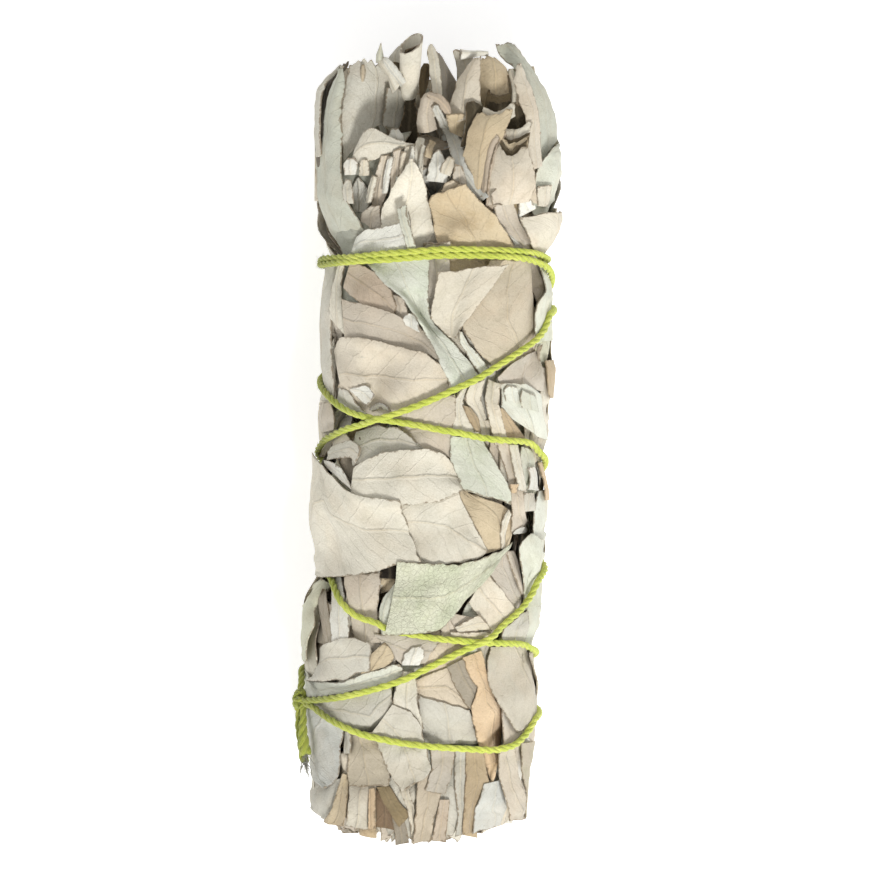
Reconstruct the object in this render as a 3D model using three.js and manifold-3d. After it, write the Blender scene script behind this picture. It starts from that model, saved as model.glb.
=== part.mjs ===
// White sage bunch: a stick of dried leafy stems, tips towards +Y and cut ends towards -Y,
// lashed with one length of cotton twine. It lies on its long side; z = 0 is the surface
// that it rests on. All sizes are in millimetres.
import * as THREE from 'three';
import { mergeVertices } from 'three/addons/utils/BufferGeometryUtils.js';
import Module from 'manifold-3d';

const wasm = await Module();
wasm.setup();

// ---------------------------------------------------------------- driving dimensions
const AXIS_HEIGHT = 14.2;      // middle of the stick above the surface
const BLADE = 0.6;             // thickness of a leaf blade
const CLEAR = 0.34;            // air between one leaf and the next
const CORE_DEPTH_ABOVE = 3.7;  // how far the packed middle lies inside the leaf skin,
const CORE_DEPTH_BELOW = 1.5;  // on top and underneath
const HEART_RADIUS = 4.4;      // packed middle of the central stem
const SECTOR_GAP = 0.36;       // air between neighbouring stems
const TWINE_DIAMETER = 0.9;
const PINCH_FRONT = 0.6;       // how far the twine draws the leaves in, on top
const PINCH_BELOW = 1.5;       // and underneath, where it must not meet the surface
const PINCH_WIDTH = 2.4;
const CENTRE_SHIFT = [0.14, 0.12];  // brings the middle of the whole piece to x = y = 0

// Girth of the leaf skin: [y, x of the middle, half width].
const GIRTH = [
  [-50.5, -1.0, 13.1], [-46.5, -1.2, 13.4], [-42.7, -0.6, 13.5], [-37.7, -0.6, 14.1],
  [-32.7, -0.9, 14.7], [-25.2, -1.0, 15.1], [-20.2, -0.5, 15.0], [-16.5, 0.6, 14.3],
  [-7.7, 0.4, 15.1], [-0.2, 0.6, 14.4], [4.8, 1.2, 14.9], [17.2, 1.3, 14.9],
  [22.5, 1.3, 14.3], [29.7, 1.4, 15.0], [42.2, 0.8, 14.3], [50.5, 0.8, 12.5],
];
// Packed middle of the stems: [y, share of its full depth that is filled].
const CORE_ENDS = [
  [-47.5, 1.0], [24.0, 1.0], [31.0, 0.7], [36.0, 0.42], [40.0, 0.3],
];

const MEAN_GIRTH = 15;         // turns into lengths round the side

const TURN = 2 * Math.PI;
const lerp = THREE.MathUtils.lerp;
const clamp = THREE.MathUtils.clamp;
const smooth = THREE.MathUtils.smoothstep;

function along(table, y, column) {
  const last = table.length - 1;
  if (y <= table[0][0]) return table[0][column];
  if (y >= table[last][0]) return table[last][column];
  const k = table.findIndex((row) => row[0] > y);
  const t = (y - table[k - 1][0]) / (table[k][0] - table[k - 1][0]);
  return lerp(table[k - 1][column], table[k][column], t);
}
const middleX = (y) => along(GIRTH, y, 1);
const girth = (y) => along(GIRTH, y, 2);
const THIN_SECTOR = 0.8;       // least thickness of a stem's packed middle
const LEAST_CORE = HEART_RADIUS + SECTOR_GAP + THIN_SECTOR;
const BELOW = [-0.15, 0.5];    // from the side to the underside, as -cos(turn)

function coreRadius(turn, y) {
  const depth = lerp(CORE_DEPTH_ABOVE, CORE_DEPTH_BELOW, smooth(-Math.cos(turn), ...BELOW));
  return Math.max((girth(y) - depth) * along(CORE_ENDS, y, 1), LEAST_CORE);
}

function random(seed) {
  let state = seed;
  return () => {
    state = (state + 0x6d2b79f5) | 0;
    let t = Math.imul(state ^ (state >>> 15), 1 | state);
    t = (t + Math.imul(t ^ (t >>> 7), 61 | t)) ^ t;
    return ((t ^ (t >>> 14)) >>> 0) / 4294967296;
  };
}

// ---------------------------------------------------------------- plan of the leaves
// Each leaf that shows on top is drawn on a plan, by its two margins from root to tip.
// The plan has PLAN_GRID units to the millimetre, x to the right and y towards the cut
// ends, and PLAN_ORIGIN is where the frame's own origin lies on it.
const PLAN_GRID = 8;
const PLAN_ORIGIN = { x: 427, y: 438 };

// [name, left margin, right margin, options]. own: a leaf that lies loose across the
// stems, as a node of its own. level: how far out its tip stands, as a share of the
// girth. lift: how far its tip edge stands off, in mm. roll: bend across the blade.
const CROWN = [
  ['left_hollow', '315,165 315,135 318,110 320,88 333,77 349,62',
    '335,165 330,135 332,110 338,90 343,78 350,64', { level: 0.97 }],
  ['dark_sliver', '421,97 419,85 420,72 424,65', '423,97 427,88 431,78 431,68', { level: 0.45 }],
  ['thin_spike', '377,72 377,60 381,47', '384,70 385,60 383,47', { level: 0.5 }],
  ['twisted_fold', '398,90 388,78 379,68', '404,86 394,73 384,64', { level: 0.72 }],
  ['tube_leaf', '404,105 401,85 401,65 404,48 407,38', '417,103 419,80 420,62 424,50 425,42',
    { level: 0.72, roll: 1.5 }],
  ['pointed_tip', '434,112 434,97 431,75 428,54 430,48', '450,112 452,92 449,74 441,60 434,48',
    { level: 0.82, roll: 0.7 }],
  ['curled_tip', '447,120 450,105 456,88 459,78 457,62 455,53',
    '486,112 485,95 481,75 479,60 487,54', { level: 0.86, roll: 0.5 }],
  ['far_right', '538,145 537,120 533,98 523,78 510,68 500,60 494,50',
    '556,137 556,122 549,104 541,88 531,73 521,56 516,46', { level: 0.99 }],
  ['tan_round', '482,112 480,90 480,70 483,59', '509,102 512,90 511,80 505,69 493,61',
    { level: 0.62 }],
  ['right_inner', '532,180 528,150 520,125 514,105 515,85 518,66',
    '542,180 540,140 536,115 531,92 525,78 520,66', { level: 0.92 }],
  ['grey_hollow', '372,140 372,110 368,85 362,64', '404,128 405,110 402,92 392,80 376,65',
    { level: 0.86, roll: 0.6 }],
  ['broad_left', '346,160 346,140 342,120 345,100 348,82 350,68',
    '378,150 374,130 373,105 371,85 366,65', { level: 0.96 }],
  ['pink_fold', '420,134 418,120 421,105 427,97', '436,132 446,118 448,110 436,98',
    { level: 0.9 }],
  ['roll_back', '470,175 478,150 488,128 498,118 514,108', '500,175 505,150 515,135 526,128 529,115',
    { level: 0.9, roll: 0.6 }],
  ['fold_face_left', '464,175 466,152 475,136 484,124 494,116',
    '482,185 484,160 490,146 496,134 500,128', { level: 0.95 }],
  ['fold_face_right', '490,205 489,175 493,152 501,139', '530,205 528,175 528,150 530,130',
    { level: 1.0, roll: 0.5 }],
  ['right_pale_edge', '534,195 535,170 540,158 552,138', '556,195 554,170 553,152 559,126',
    { level: 1.0 }],
  ['long_left', '322,262 319,235 318,200 316,165 320,138 325,115 333,93 341,72',
    '352,258 355,236 349,215 346,190 342,172 343,150 342,128 342,108 345,85 342,74',
    { level: 1.0, roll: 0.4 }],
  ['upper_flap', '357,158 363,140 374,129 385,139 400,143 413,149',
    '360,166 368,165 378,160 392,157 404,153 414,151', {}],
  ['petiole_a', '373,211 372,190 378,172 382,160', '382,211 389,192 391,172 391,158', {}],
  ['petiole_b', '391,192 391,170 394,155', '399,186 401,168 402,152', {}],
  ['petiole_c', '414,165 414,150 418,140', '423,180 424,160 425,142', {}],
  ['white_bit', '355,214 350,200 353,188 358,180', '366,214 372,203 368,190 360,180', {}],
  ['cupped_white', '426,184 428,170 434,157 438,153', '446,186 449,176 445,164 440,153', {}],
  ['ribbon', '478,206 465,190 455,175 450,155 446,140 438,125 431,110',
    '488,200 477,185 465,168 463,150 457,136 447,124 438,108', {}],
];

const UPPER = [
  ['grey_pink', '512,262 505,238 494,218 493,208', '536,262 528,240 518,222 512,205', {}],
  ['tan_pink_small', '513,200 513,190 514,180', '536,206 535,190 532,174', {}],
  ['pale_triangle', '384,258 381,228 382,213 392,192 402,177 410,163',
    '438,258 436,238 431,218 428,200 424,182 414,163', {}],
  ['tan_leaf', '455,300 440,262 437,245 433,225 429,205 431,198',
    '530,300 520,262 508,238 495,218 478,203 465,188', { own: true, lift: 0.3 }],
  ['right_leaf', '536,258 527,238 519,221', '558,258 559,230 556,212', {}],
  ['cross_leaf', '358,238 365,232 382,230 400,226 410,214', '352,256 370,256 390,255 405,254 412,250',
    { own: true }],
];

const MIDDLE_UPPER = [
  ['left_strip_wide', '320,400 319,350 318,300 321,262', '335,400 330,350 330,318 345,262', {}],
  ['left_edge_leaf', '330,318 331,290 338,265', '348,338 343,310 342,285 346,265', {}],
  ['brown_fold', '352,262 366,268 380,278 392,294 397,308', '344,290 352,298 364,308 376,311 394,319',
    {}],
  ['pink_leaf', '343,300 360,305 380,310 400,318 420,328 437,352',
    '346,340 358,343 380,346 400,351 420,355 438,360', {}],
  ['cream_leaf', '334,350 340,338 355,338 370,340 400,348 425,354 447,370',
    '345,400 352,408 370,416 390,416 420,412 440,402 450,390', { own: true }],
  ['grey_tan_leaf', '496,372 480,356 462,330 470,300 490,262', '532,352 536,330 532,300 530,262', {}],
  ['right_vertical', '535,345 534,318 537,303 546,292 540,262', '556,340 557,310 557,285 556,262', {}],
  ['long_green', '360,256 385,286 402,299 420,325 432,346 440,365 452,388',
    '430,256 428,300 431,322 446,337 460,352 472,366 482,380', { own: true }],
  ['flap', '447,337 430,320 437,283 438,275', '455,340 462,328 485,298 508,266',
    { own: true, lift: 1.2, proud: 1.8 }],
  ['pink_right', '498,384 497,378 506,368 520,358', '545,392 546,375 545,350 544,345', {}],
  ['crumpled', '500,412 501,395 499,384', '545,440 545,415 542,395 525,384', {}],
  ['shoulder_strip', '450,437 450,418 456,397 462,388', '474,432 466,412 462,400 468,386', {}],
  ['tan_strip', '506,440 499,420 498,408', '526,440 514,424 503,409', {}],
  ['narrow_strip', '482,440 476,418 464,400 470,385', '492,440 486,418 480,400 484,380', {}],
  ['outer_strip', '494,445 488,420 484,400 487,380', '508,445 503,425 498,405 500,385', {}],
];

const MIDDLE = [
  ['pink_mid', '392,418 415,408 440,398 456,396', '415,446 430,452 445,455 452,460', {}],
  ['grey_white', '352,446 357,432 375,426 400,428 412,438 422,449',
    '354,466 366,462 380,455 400,453 420,452 432,452', {}],
  ['small_left', '320,432 319,418 321,402', '334,430 335,418 330,404', {}],
  ['small_low', '322,452 335,444 352,440 362,448', '326,460 340,458 352,457 356,464', {}],
  ['tan_window', '486,552 478,532 466,512 459,495 458,488', '508,545 512,528 512,512 500,503 480,497',
    {}],
  ['curl_cup', '523,500 521,480 519,455 520,447', '546,492 540,470 535,452 525,447', {}],
  ['right_pale', '534,560 534,530 535,505 540,492', '550,545 551,525 551,503 549,488', {}],
  ['pink_stem_strip', '495,440 503,465 509,485 511,510 511,531',
    '512,440 518,465 522,490 524,510 530,531', {}],
  ['big_right', '400,478 430,480 458,488 462,503 472,520 480,535 487,550',
    '395,560 410,562 430,563 450,562 465,560 478,557 486,551', { own: true }],
  ['cream_big', '355,467 368,459 382,452 405,450 430,449 446,455 458,470',
    '352,492 365,500 385,505 410,505 440,500 460,492 466,485', { own: true }],
  ['green_fold_leaf', '450,436 450,460 457,475 462,488', '482,440 492,458 502,475 511,492 510,503',
    { own: true }],
];

const LOWER = [
  ['left_bulge', '301,662 298,650 299,625 304,603 312,588 319,578',
    '308,660 307,640 316,622 312,605 318,598 322,585', {}],
  ['grey_brown_strip', '326,641 322,620 317,600 318,588', '334,640 332,620 328,600 326,588', {}],
  ['fold_white', '333,640 331,618 333,600 332,576', '350,636 350,615 346,598 342,576', {}],
  ['pinkish', '355,640 352,615 348,595 344,574', '381,640 378,615 380,592 381,572', {}],
  ['pink_grey', '519,614 508,600 497,585 487,569 498,552', '522,606 521,592 515,575 510,560 505,550',
    {}],
  ['light_quad', '468,601 480,616 494,632', '486,569 503,592 520,614', {}],
  ['right_green', '523,610 524,585 520,560 518,545 530,532', '541,605 545,580 545,560 544,540', {}],
  ['low_white', '500,642 502,628 522,612', '530,642 530,625 530,610', {}],
  ['low_pink', '441,636 442,615 450,610', '476,636 478,626 486,618', {}],
  ['mauve', '374,631 400,632 425,636 440,640', '385,643 396,655 402,662 425,660', {}],
  ['under_strip', '303,662 308,680 343,680 365,671 385,665 400,660',
    '304,696 325,694 350,690 375,684 395,677 408,672', { own: true }],
  ['tan_veined', '362,671 368,655 378,645 386,640', '385,664 393,659 396,655 392,647', {}],
  ['grey_leaf', '313,652 325,643 342,636 356,635 372,641', '309,680 328,679 345,677 358,671 370,667',
    { own: true }],
];

const TIES = [
  ['tan_grey', '418,692 432,699 445,703 468,706', '415,678 430,670 447,664 462,690', {}],
  ['grey_square', '424,740 421,718 418,692', '477,740 473,722 469,706', {}],
  ['grey_rough', '447,664 455,685 468,705 478,712', '465,655 475,675 487,692 497,705', {}],
  ['orange_stem', '462,655 468,672 478,685 470,705 477,738 483,755 491,781',
    '481,648 486,668 491,690 503,712 500,738 498,758 492,781', { own: true }],
  ['right_slab', '489,645 487,662 485,676 493,692 503,708 513,725 522,737',
    '526,644 532,655 533,675 533,695 531,715 528,730', { own: true }],
  ['tie_wedge', '310,700 330,697 360,691 392,683', '313,704 335,718 360,728 374,729 393,701',
    { own: true }],
  ['light_vertical', '393,702 397,680 404,668', '424,725 419,705 417,685 415,668', {}],
];

const CUT_END = [
  ['foot_brown', '376,785 377,805 377,822', '395,800 396,812 395,825', {}],
  ['foot_dark', '392,812 395,825 396,840', '403,812 408,825 409,838', {}],
  ['foot_grey', '316,782 312,800 310,808 313,814', '343,775 338,795 332,812 324,821', {}],
  ['foot_tan', '344,770 337,790 333,806 323,820', '350,772 349,790 347,806 344,823', {}],
  ['foot_cream', '350,770 350,795 346,822', '378,780 372,800 370,826', {}],
  ['foot_olive', '377,783 385,800 395,815 400,822', '391,782 400,797 409,808 409,812', {}],
  ['foot_beige', '417,775 417,800 415,820 413,839', '447,760 440,795 434,815 431,836', {}],
  ['foot_pink', '440,795 436,815 432,836', '450,795 447,820 446,837', {}],
  ['foot_strip', '455,745 454,770 455,790 458,812 455,832', '466,745 465,775 464,800 464,830', {}],
  ['foot_wide', '466,746 465,775 464,800 462,829', '482,746 489,780 476,800 472,829', {}],
  ['foot_light', '484,780 478,798 474,806 473,829', '499,777 503,795 509,812 510,820', {}],
  ['foot_rose', '499,746 498,775 504,795 511,820', '515,746 520,775 522,800 523,820', {}],
  ['foot_edge', '516,746 519,775 521,800 521,818', '531,744 531,765 528,785 525,815', {}],
  ['grey_slope', '430,744 432,765 425,785', '455,744 453,765 445,790', {}],
  ['grey_tan', '352,730 350,750 348,765 350,783', '374,729 383,752 390,770 390,781', {}],
  ['light_tip', '373,729 383,752 392,774 402,787', '393,701 412,708 421,722 426,742 432,766 427,772',
    { own: true }],
  ['left_fold', '311,706 311,735 311,760 317,780 324,786', '345,728 341,745 341,762 338,776 330,784',
    { own: true }],
];

// Two leaves that lie over the twine.
const OVER_TWINE = [
  ['big_left', '311,500 313,468 318,452 322,463 337,477 350,490 365,496 400,500',
    '316,560 318,577 335,576 360,573 380,570 400,562 420,560', { own: true, proud: 1.5 }],
  ['green_leaf', '400,560 430,562 458,563 480,557 500,550 513,540',
    '387,632 410,632 440,628 455,612 480,585 500,560', { own: true, proud: 1.7 }],
];

// Route of the twine over the top, turn by turn from left to right, on the same plan.
// Between one line and the next it passes once round underneath.
const TWINE_TURNS = [
  ['308,699 330,696 350,692 370,687 390,681 410,674 430,664 450,655 470,646 490,636 510,622',
    '528,609 541,593 545,583 546,575 543,563'].join(' '),
  ['316,440 322,437 340,429 360,424 380,419 400,412 420,405 440,397 460,388 480,380 500,368',
    '520,356 540,343 550,333 555,323 557,315'].join(' '),
  '320,259 350,259 380,256 400,255 440,252 480,252 520,253 540,254 555,259',
  '320,265 350,263 380,262 440,258 480,258 520,259 540,262 555,270',
  ['318,393 322,398 335,408 345,413 365,418 380,420 400,423 420,426 440,430 460,433 480,437',
    '500,440 535,442 543,446 547,452'].join(' '),
  ['323,575 332,592 340,602 348,611 355,615 365,618 378,620 382,626 408,631 440,636 480,640',
    '520,642 532,643 539,648'].join(' '),
  ['310,704 318,710 340,722 360,730 380,735 400,739 440,743 480,746 495,747 515,743 528,733',
    '536,717'].join(' '),
];
const KNOT = { turn: -76 / 360, y: -32.7, size: 1.15 };

function planPoints(text) {
  return text.split(' ').map((pair) => {
    const [x, y] = pair.split(',').map(Number);
    return { x: (x - PLAN_ORIGIN.x) / PLAN_GRID, y: (PLAN_ORIGIN.y - y) / PLAN_GRID };
  });
}

// A point at share t of a polyline's length.
function pointAlong(points, t) {
  const steps = points.slice(1).map((p, k) => Math.hypot(p.x - points[k].x, p.y - points[k].y));
  let left = t * steps.reduce((a, b) => a + b, 0);
  for (let k = 0; k < steps.length; k += 1) {
    if (left <= steps[k] || k === steps.length - 1) {
      const s = steps[k] > 0 ? clamp(left / steps[k], 0, 1) : 0;
      return { x: lerp(points[k].x, points[k + 1].x, s), y: lerp(points[k].y, points[k + 1].y, s) };
    }
    left -= steps[k];
  }
  return points[points.length - 1];
}

// ---------------------------------------------------------------- places on the stick
// A place is { turn, y, r }: the angle round the axis (0 on top, positive towards +X),
// the length along it and the distance from it.
const WRAP_FROM = 0.94;        // share of the girth past which a leaf bends round the side
const WRAP_RATE = 9.0;         // radians per unit of that share
const WRAP_MOST = 0.09;        // as far as the plan reaches past it

function turnAt(x, y, share = 1) {
  const q = (x - middleX(y)) / (girth(y) * share);
  const side = Math.sign(q);
  const out = Math.abs(q);
  if (out <= WRAP_FROM) return Math.asin(q);
  return side * (Math.asin(WRAP_FROM) + Math.min(out - WRAP_FROM, WRAP_MOST) * WRAP_RATE);
}

function toSpace(place) {
  return new THREE.Vector3(
    middleX(place.y) + place.r * Math.sin(place.turn) + CENTRE_SHIFT[0],
    place.y + CENTRE_SHIFT[1],
    AXIS_HEIGHT + place.r * Math.cos(place.turn),
  );
}

// ---------------------------------------------------------------- relief of the stick
// For each small cell of the stick's side, how far out the topmost piece reaches and
// which node it belongs to.
const CELLS_ROUND = 240;
const CELLS_LONG = 216;
const LONG_FROM = -54;
const LONG_TO = 54;
const CELL_LENGTH = (LONG_TO - LONG_FROM) / CELLS_LONG;
const NO_NODE = -1;
const TWINE_NODE = -2;
const reach = new Float64Array(CELLS_ROUND * CELLS_LONG);
const holder = new Int16Array(CELLS_ROUND * CELLS_LONG).fill(NO_NODE);
const coreHolder = new Int16Array(CELLS_ROUND * CELLS_LONG);

// Every node that lies over a cell, from the core outwards.
const stack = Array.from({ length: CELLS_ROUND * CELLS_LONG }, () => []);

function cell(turn, y, da = 0, db = 0) {
  const share = turn / TURN;
  const a = Math.floor((share - Math.floor(share)) * CELLS_ROUND) + da;
  const b = clamp(Math.floor((y - LONG_FROM) / CELL_LENGTH) + db, 0, CELLS_LONG - 1);
  return ((a + CELLS_ROUND) % CELLS_ROUND) * CELLS_LONG + b;
}

function reachNear(turn, y, span = 1) {
  let best = 0;
  for (let a = -span; a <= span; a += 1) {
    for (let b = -span; b <= span; b += 1) best = Math.max(best, reach[cell(turn, y, a, b)]);
  }
  return best;
}

// ---------------------------------------------------------------- nodes and their solids
const SECTORS = 6;
const SECTOR_TURN = TURN / SECTORS;
const HEART = 0;               // node number of the central stem; 1 to SECTORS lie round it
const nodes = [];
for (let k = 0; k <= SECTORS; k += 1) nodes.push({ name: `leafy_stem_${k + 1}`, tone: k % 3, solids: [] });

const SEAM_MARGIN = 0.9;       // no stalk stands this near to a seam between two stems

function layCore() {
  for (let a = 0; a < CELLS_ROUND; a += 1) {
    const turn = ((a + 0.5) / CELLS_ROUND) * TURN;
    const sector = Math.floor((turn / SECTOR_TURN + 0.5) % SECTORS);
    const offCentre = Math.abs(((turn / SECTOR_TURN + 0.5) % 1) - 0.5) * SECTOR_TURN;
    for (let b = 0; b < CELLS_LONG; b += 1) {
      const y = LONG_FROM + (b + 0.5) * CELL_LENGTH;
      if (y < CORE_ENDS[0][0] || y > CORE_ENDS[CORE_ENDS.length - 1][0]) continue;
      const r = coreRadius(turn, y);
      reach[a * CELLS_LONG + b] = r;
      const fromGap = (SECTOR_TURN / 2 - offCentre) * r;
      holder[a * CELLS_LONG + b] = fromGap > SEAM_MARGIN ? sector + 1 : NO_NODE;
    }
  }
}

// ---------------------------------------------------------------- draping of a leaf
// A leaf at the tips grows where the packed middle is as thick as the leaf stands out.
const ROOT_AT_AXIS = 37;
const ROOT_AT_SKIN = 24;
const ROOT_NARROWS = 0.6;      // how much a leaf narrows from its plan to its root
const LEAST_WIDTH = 0.9;
const PILED_FROM = 24;
const SIDE_REACH = 0.92;
const rootOf = (level) => lerp(ROOT_AT_AXIS, ROOT_AT_SKIN, level);

// A leaf can't stand closer to the axis than its own margins reach to the side.
function levelOf(leaf, margins) {
  const aside = margins.map((p) => Math.abs(p.x - middleX(p.y)) / girth(p.y));
  return Math.min(Math.max(leaf.level, ...aside.map((q) => q / SIDE_REACH)), 1);
}

const POINTED = 0.05;          // margins closer than this meet in a point

function marginsOf(leaf, rows) {
  const left = planPoints(leaf.left);
  const right = planPoints(leaf.right);
  const root = rootOf(leaf.level ?? 1);
  if (leaf.level && left[0].y > root) {
    const middle = (left[0].x + right[0].x) / 2;
    left.unshift({ x: lerp(left[0].x, middle, ROOT_NARROWS), y: root });
    right.unshift({ x: lerp(right[0].x, middle, ROOT_NARROWS), y: root });
  }
  const share = leaf.level ? levelOf(leaf, left.concat(right)) : 1;
  return Array.from({ length: rows + 1 }, (_, i) => {
    const a = pointAlong(left, i / rows);
    const b = pointAlong(right, i / rows);
    const wide = Math.hypot(b.x - a.x, b.y - a.y);
    if (wide < LEAST_WIDTH) {
      const ax = wide > POINTED ? (b.x - a.x) / wide : 1;
      const ay = wide > POINTED ? (b.y - a.y) / wide : 0;
      const more = (LEAST_WIDTH - wide) / 2;
      a.x -= ax * more;
      a.y -= ay * more;
      b.x += ax * more;
      b.y += ay * more;
    }
    return [
      { turn: turnAt(a.x, a.y, share), y: a.y },
      { turn: turnAt(b.x, b.y, share), y: b.y },
    ];
  });
}

function gridOf(margins, columns) {
  return margins.map(([a, b]) => Array.from({ length: columns + 1 }, (_, j) => ({
    turn: lerp(a.turn, b.turn, j / columns),
    y: lerp(a.y, b.y, j / columns),
    r: 0,
  })));
}

// Weights of the four grid points round share u along and v across.
function cornersAt(grid, u, v) {
  const rows = grid.length - 1;
  const columns = grid[0].length - 1;
  const i = Math.min(Math.floor(u * rows), rows - 1);
  const j = Math.min(Math.floor(v * columns), columns - 1);
  const s = u * rows - i;
  const t = v * columns - j;
  return [
    [grid[i][j], (1 - s) * (1 - t)], [grid[i + 1][j], s * (1 - t)],
    [grid[i][j + 1], (1 - s) * t], [grid[i + 1][j + 1], s * t],
  ];
}

function placeAt(grid, u, v) {
  const place = { turn: 0, y: 0, r: 0 };
  for (const [point, weight] of cornersAt(grid, u, v)) {
    place.turn += point.turn * weight;
    place.y += point.y * weight;
    place.r += point.r * weight;
  }
  return place;
}

function samplesOf(grid, perRow, perColumn) {
  const list = [];
  const rows = (grid.length - 1) * perRow;
  const columns = (grid[0].length - 1) * perColumn;
  for (let i = 0; i <= rows; i += 1) {
    for (let j = 0; j <= columns; j += 1) list.push([i / rows, j / columns]);
  }
  return list;
}

const STEP_TURN = 0.36;        // most that one step of a blade bends round the stick

function widestTurn(grid) {
  let widest = 0;
  grid.forEach((line, i) => line.forEach((point, j) => {
    if (i > 0) widest = Math.max(widest, Math.abs(point.turn - grid[i - 1][j].turn));
    if (j > 0) widest = Math.max(widest, Math.abs(point.turn - line[j - 1].turn));
  }));
  return widest;
}

const LAYER = BLADE + CLEAR;
const COVER_SAMPLES = 8;
const MOSTLY = 0.8;            // share of a leaf that makes it mostly covered

// For each leaf of the list, how many later ones lie over most of it.
function layersOver(grids) {
  const covers = grids.map((grid) => {
    const cells = new Set();
    for (const [u, v] of samplesOf(grid, COVER_SAMPLES, COVER_SAMPLES)) {
      const place = placeAt(grid, u, v);
      if (place.y > PILED_FROM) cells.add(cell(place.turn, place.y));
    }
    return cells;
  });
  return covers.map((cells, k) => {
    const counts = [...cells].map((here) => covers.slice(k + 1).filter((later) => later.has(here)).length);
    counts.sort((a, b) => a - b);
    return counts.length ? counts[Math.floor(MOSTLY * (counts.length - 1))] : 0;
  });
}

// Lays a leaf as low as what lies under it lets it: it starts above everything, and
// each of its points comes down in turn as far as it can.
const LOWERINGS = 9;
const LOWERING_SHARE = 0.4;
const DRAPE_SAMPLES = 6;
const OUTER = 0.97;            // where a leaf with nothing under it lies, as a share of the girth
const RISE_TO_LEVEL = 0.45;    // share of its length over which a leaf rises to its level

function drape(grid, leaf) {
  const half = BLADE / 2;
  const rows = grid.length - 1;
  const chord = 1 / Math.cos(Math.min(widestTurn(grid), STEP_TURN) / 2);
  const holds = new Map();
  grid.forEach((line, i) => line.forEach((point) => {
    const skin = girth(point.y) - half;
    const outer = Math.min((leaf.level ?? OUTER) * skin, skin - LAYER * (leaf.under ?? 0));
    const free = reachNear(point.turn, point.y) === 0;
    point.r = leaf.level ? outer * smooth(i / rows, 0, RISE_TO_LEVEL) : (free ? outer : 0);
    holds.set(point, { least: point.r, samples: [] });
  }));
  for (const [u, v] of samplesOf(grid, DRAPE_SAMPLES, DRAPE_SAMPLES)) {
    const place = placeAt(grid, u, v);
    const least = (reachNear(place.turn, place.y) + half + CLEAR) * chord;
    const corners = cornersAt(grid, u, v).filter(([, weight]) => weight > 1e-6);
    for (const [point, weight] of corners) {
      holds.get(point).samples.push({ corners, least, weight });
      point.r = Math.max(point.r, least);
    }
  }
  for (let pass = 1; pass <= LOWERINGS; pass += 1) {
    const share = pass < LOWERINGS ? LOWERING_SHARE : 1;
    for (const [point, { least, samples }] of holds) {
      let need = least;
      for (const sample of samples) {
        let others = 0;
        for (const [corner, weight] of sample.corners) if (corner !== point) others += corner.r * weight;
        need = Math.max(need, (sample.least - others) / sample.weight);
      }
      point.r = lerp(point.r, Math.min(need, point.r), share);
    }
  }
}

const WAVE = 0.12;             // half height of the waves in a leaf
const WAVE_PHASE = [2.1, 3];   // from row to row and from column to column
const SEED_STEP = 1.7;         // from leaf to leaf
const TIP_FROM = 0.3;

function shape(grid, leaf) {
  const rows = grid.length - 1;
  const columns = grid[0].length - 1;
  grid.forEach((line, i) => line.forEach((point, j) => {
    const u = i / rows;
    const v = (2 * j) / columns - 1;
    const tip = smooth(u, TIP_FROM, 1);
    point.r += (leaf.lift ?? 0) * u * u + (leaf.roll ?? 0) * tip * v * v;
    const waved = j !== 1 && i > 0 && columns > 1;
    if (waved) point.r += WAVE * (1 + Math.sin(leaf.seed + WAVE_PHASE[0] * i + WAVE_PHASE[1] * j));
  }));
}

const MARKS_LONG = 14;
const MARKS_ACROSS = 10;

function mark(grid, node) {
  const size = Math.max(2, Math.ceil(MARKS_LONG / (grid.length - 1)));
  for (const [u, v] of samplesOf(grid, size, MARKS_ACROSS)) {
    const place = placeAt(grid, u, v);
    const k = cell(place.turn, place.y);
    if (!stack[k].includes(node)) stack[k].push(node);
    if (place.r + BLADE / 2 > reach[k]) {
      reach[k] = place.r + BLADE / 2;
      holder[k] = node;
    }
  }
}

// Where a leaf's stalk may stand: on the piece right under it, or through leaves of one
// stem down to that stem's packed middle. The least air comes first.
const THROUGH = 1.0;
const SINK_IN_LEAF = 0.5;      // how far a stalk goes into the leaf under it
const SINK_IN_CORE = 0.9;      // and into the packed middle
const OFF_CENTRE = 0.5;        // costs that keep a stalk in a triangle's middle,
const FROM_ROOT = 1.2;         // and near the leaf's root
const LEVEL_GROUND = 0.9;      // most that the ground rises or falls under a stalk
const SPOTS_TRIED = 30;
const SPOT_STEP = [0.045, 0.08];   // along and across the blade, as shares
const SPOT_FROM = [0.05, 0.14];
const SPOT_MARGIN = [0.95, 0.1];   // last share along, least share from a margin

// Shares u and v over a blade: first the middles of its triangles, then points between.
function spotShares(grid) {
  const rows = grid.length - 1;
  const columns = grid[0].length - 1;
  const shares = [];
  for (let i = 0; i < rows; i += 1) {
    for (let j = 0; j < columns; j += 1) {
      shares.push([(i + 1 / 3) / rows, (j + 2 / 3) / columns, 0]);
      shares.push([(i + 2 / 3) / rows, (j + 1 / 3) / columns, 0]);
    }
  }
  const [last, margin] = SPOT_MARGIN;
  for (let u = SPOT_FROM[0]; u < last; u += SPOT_STEP[0]) {
    for (let v = SPOT_FROM[1]; v < 1 - margin; v += SPOT_STEP[1]) shares.push([u, v, OFF_CENTRE]);
  }
  return shares.filter(([u, v]) => u < last && v > margin && v < 1 - margin);
}

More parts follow.
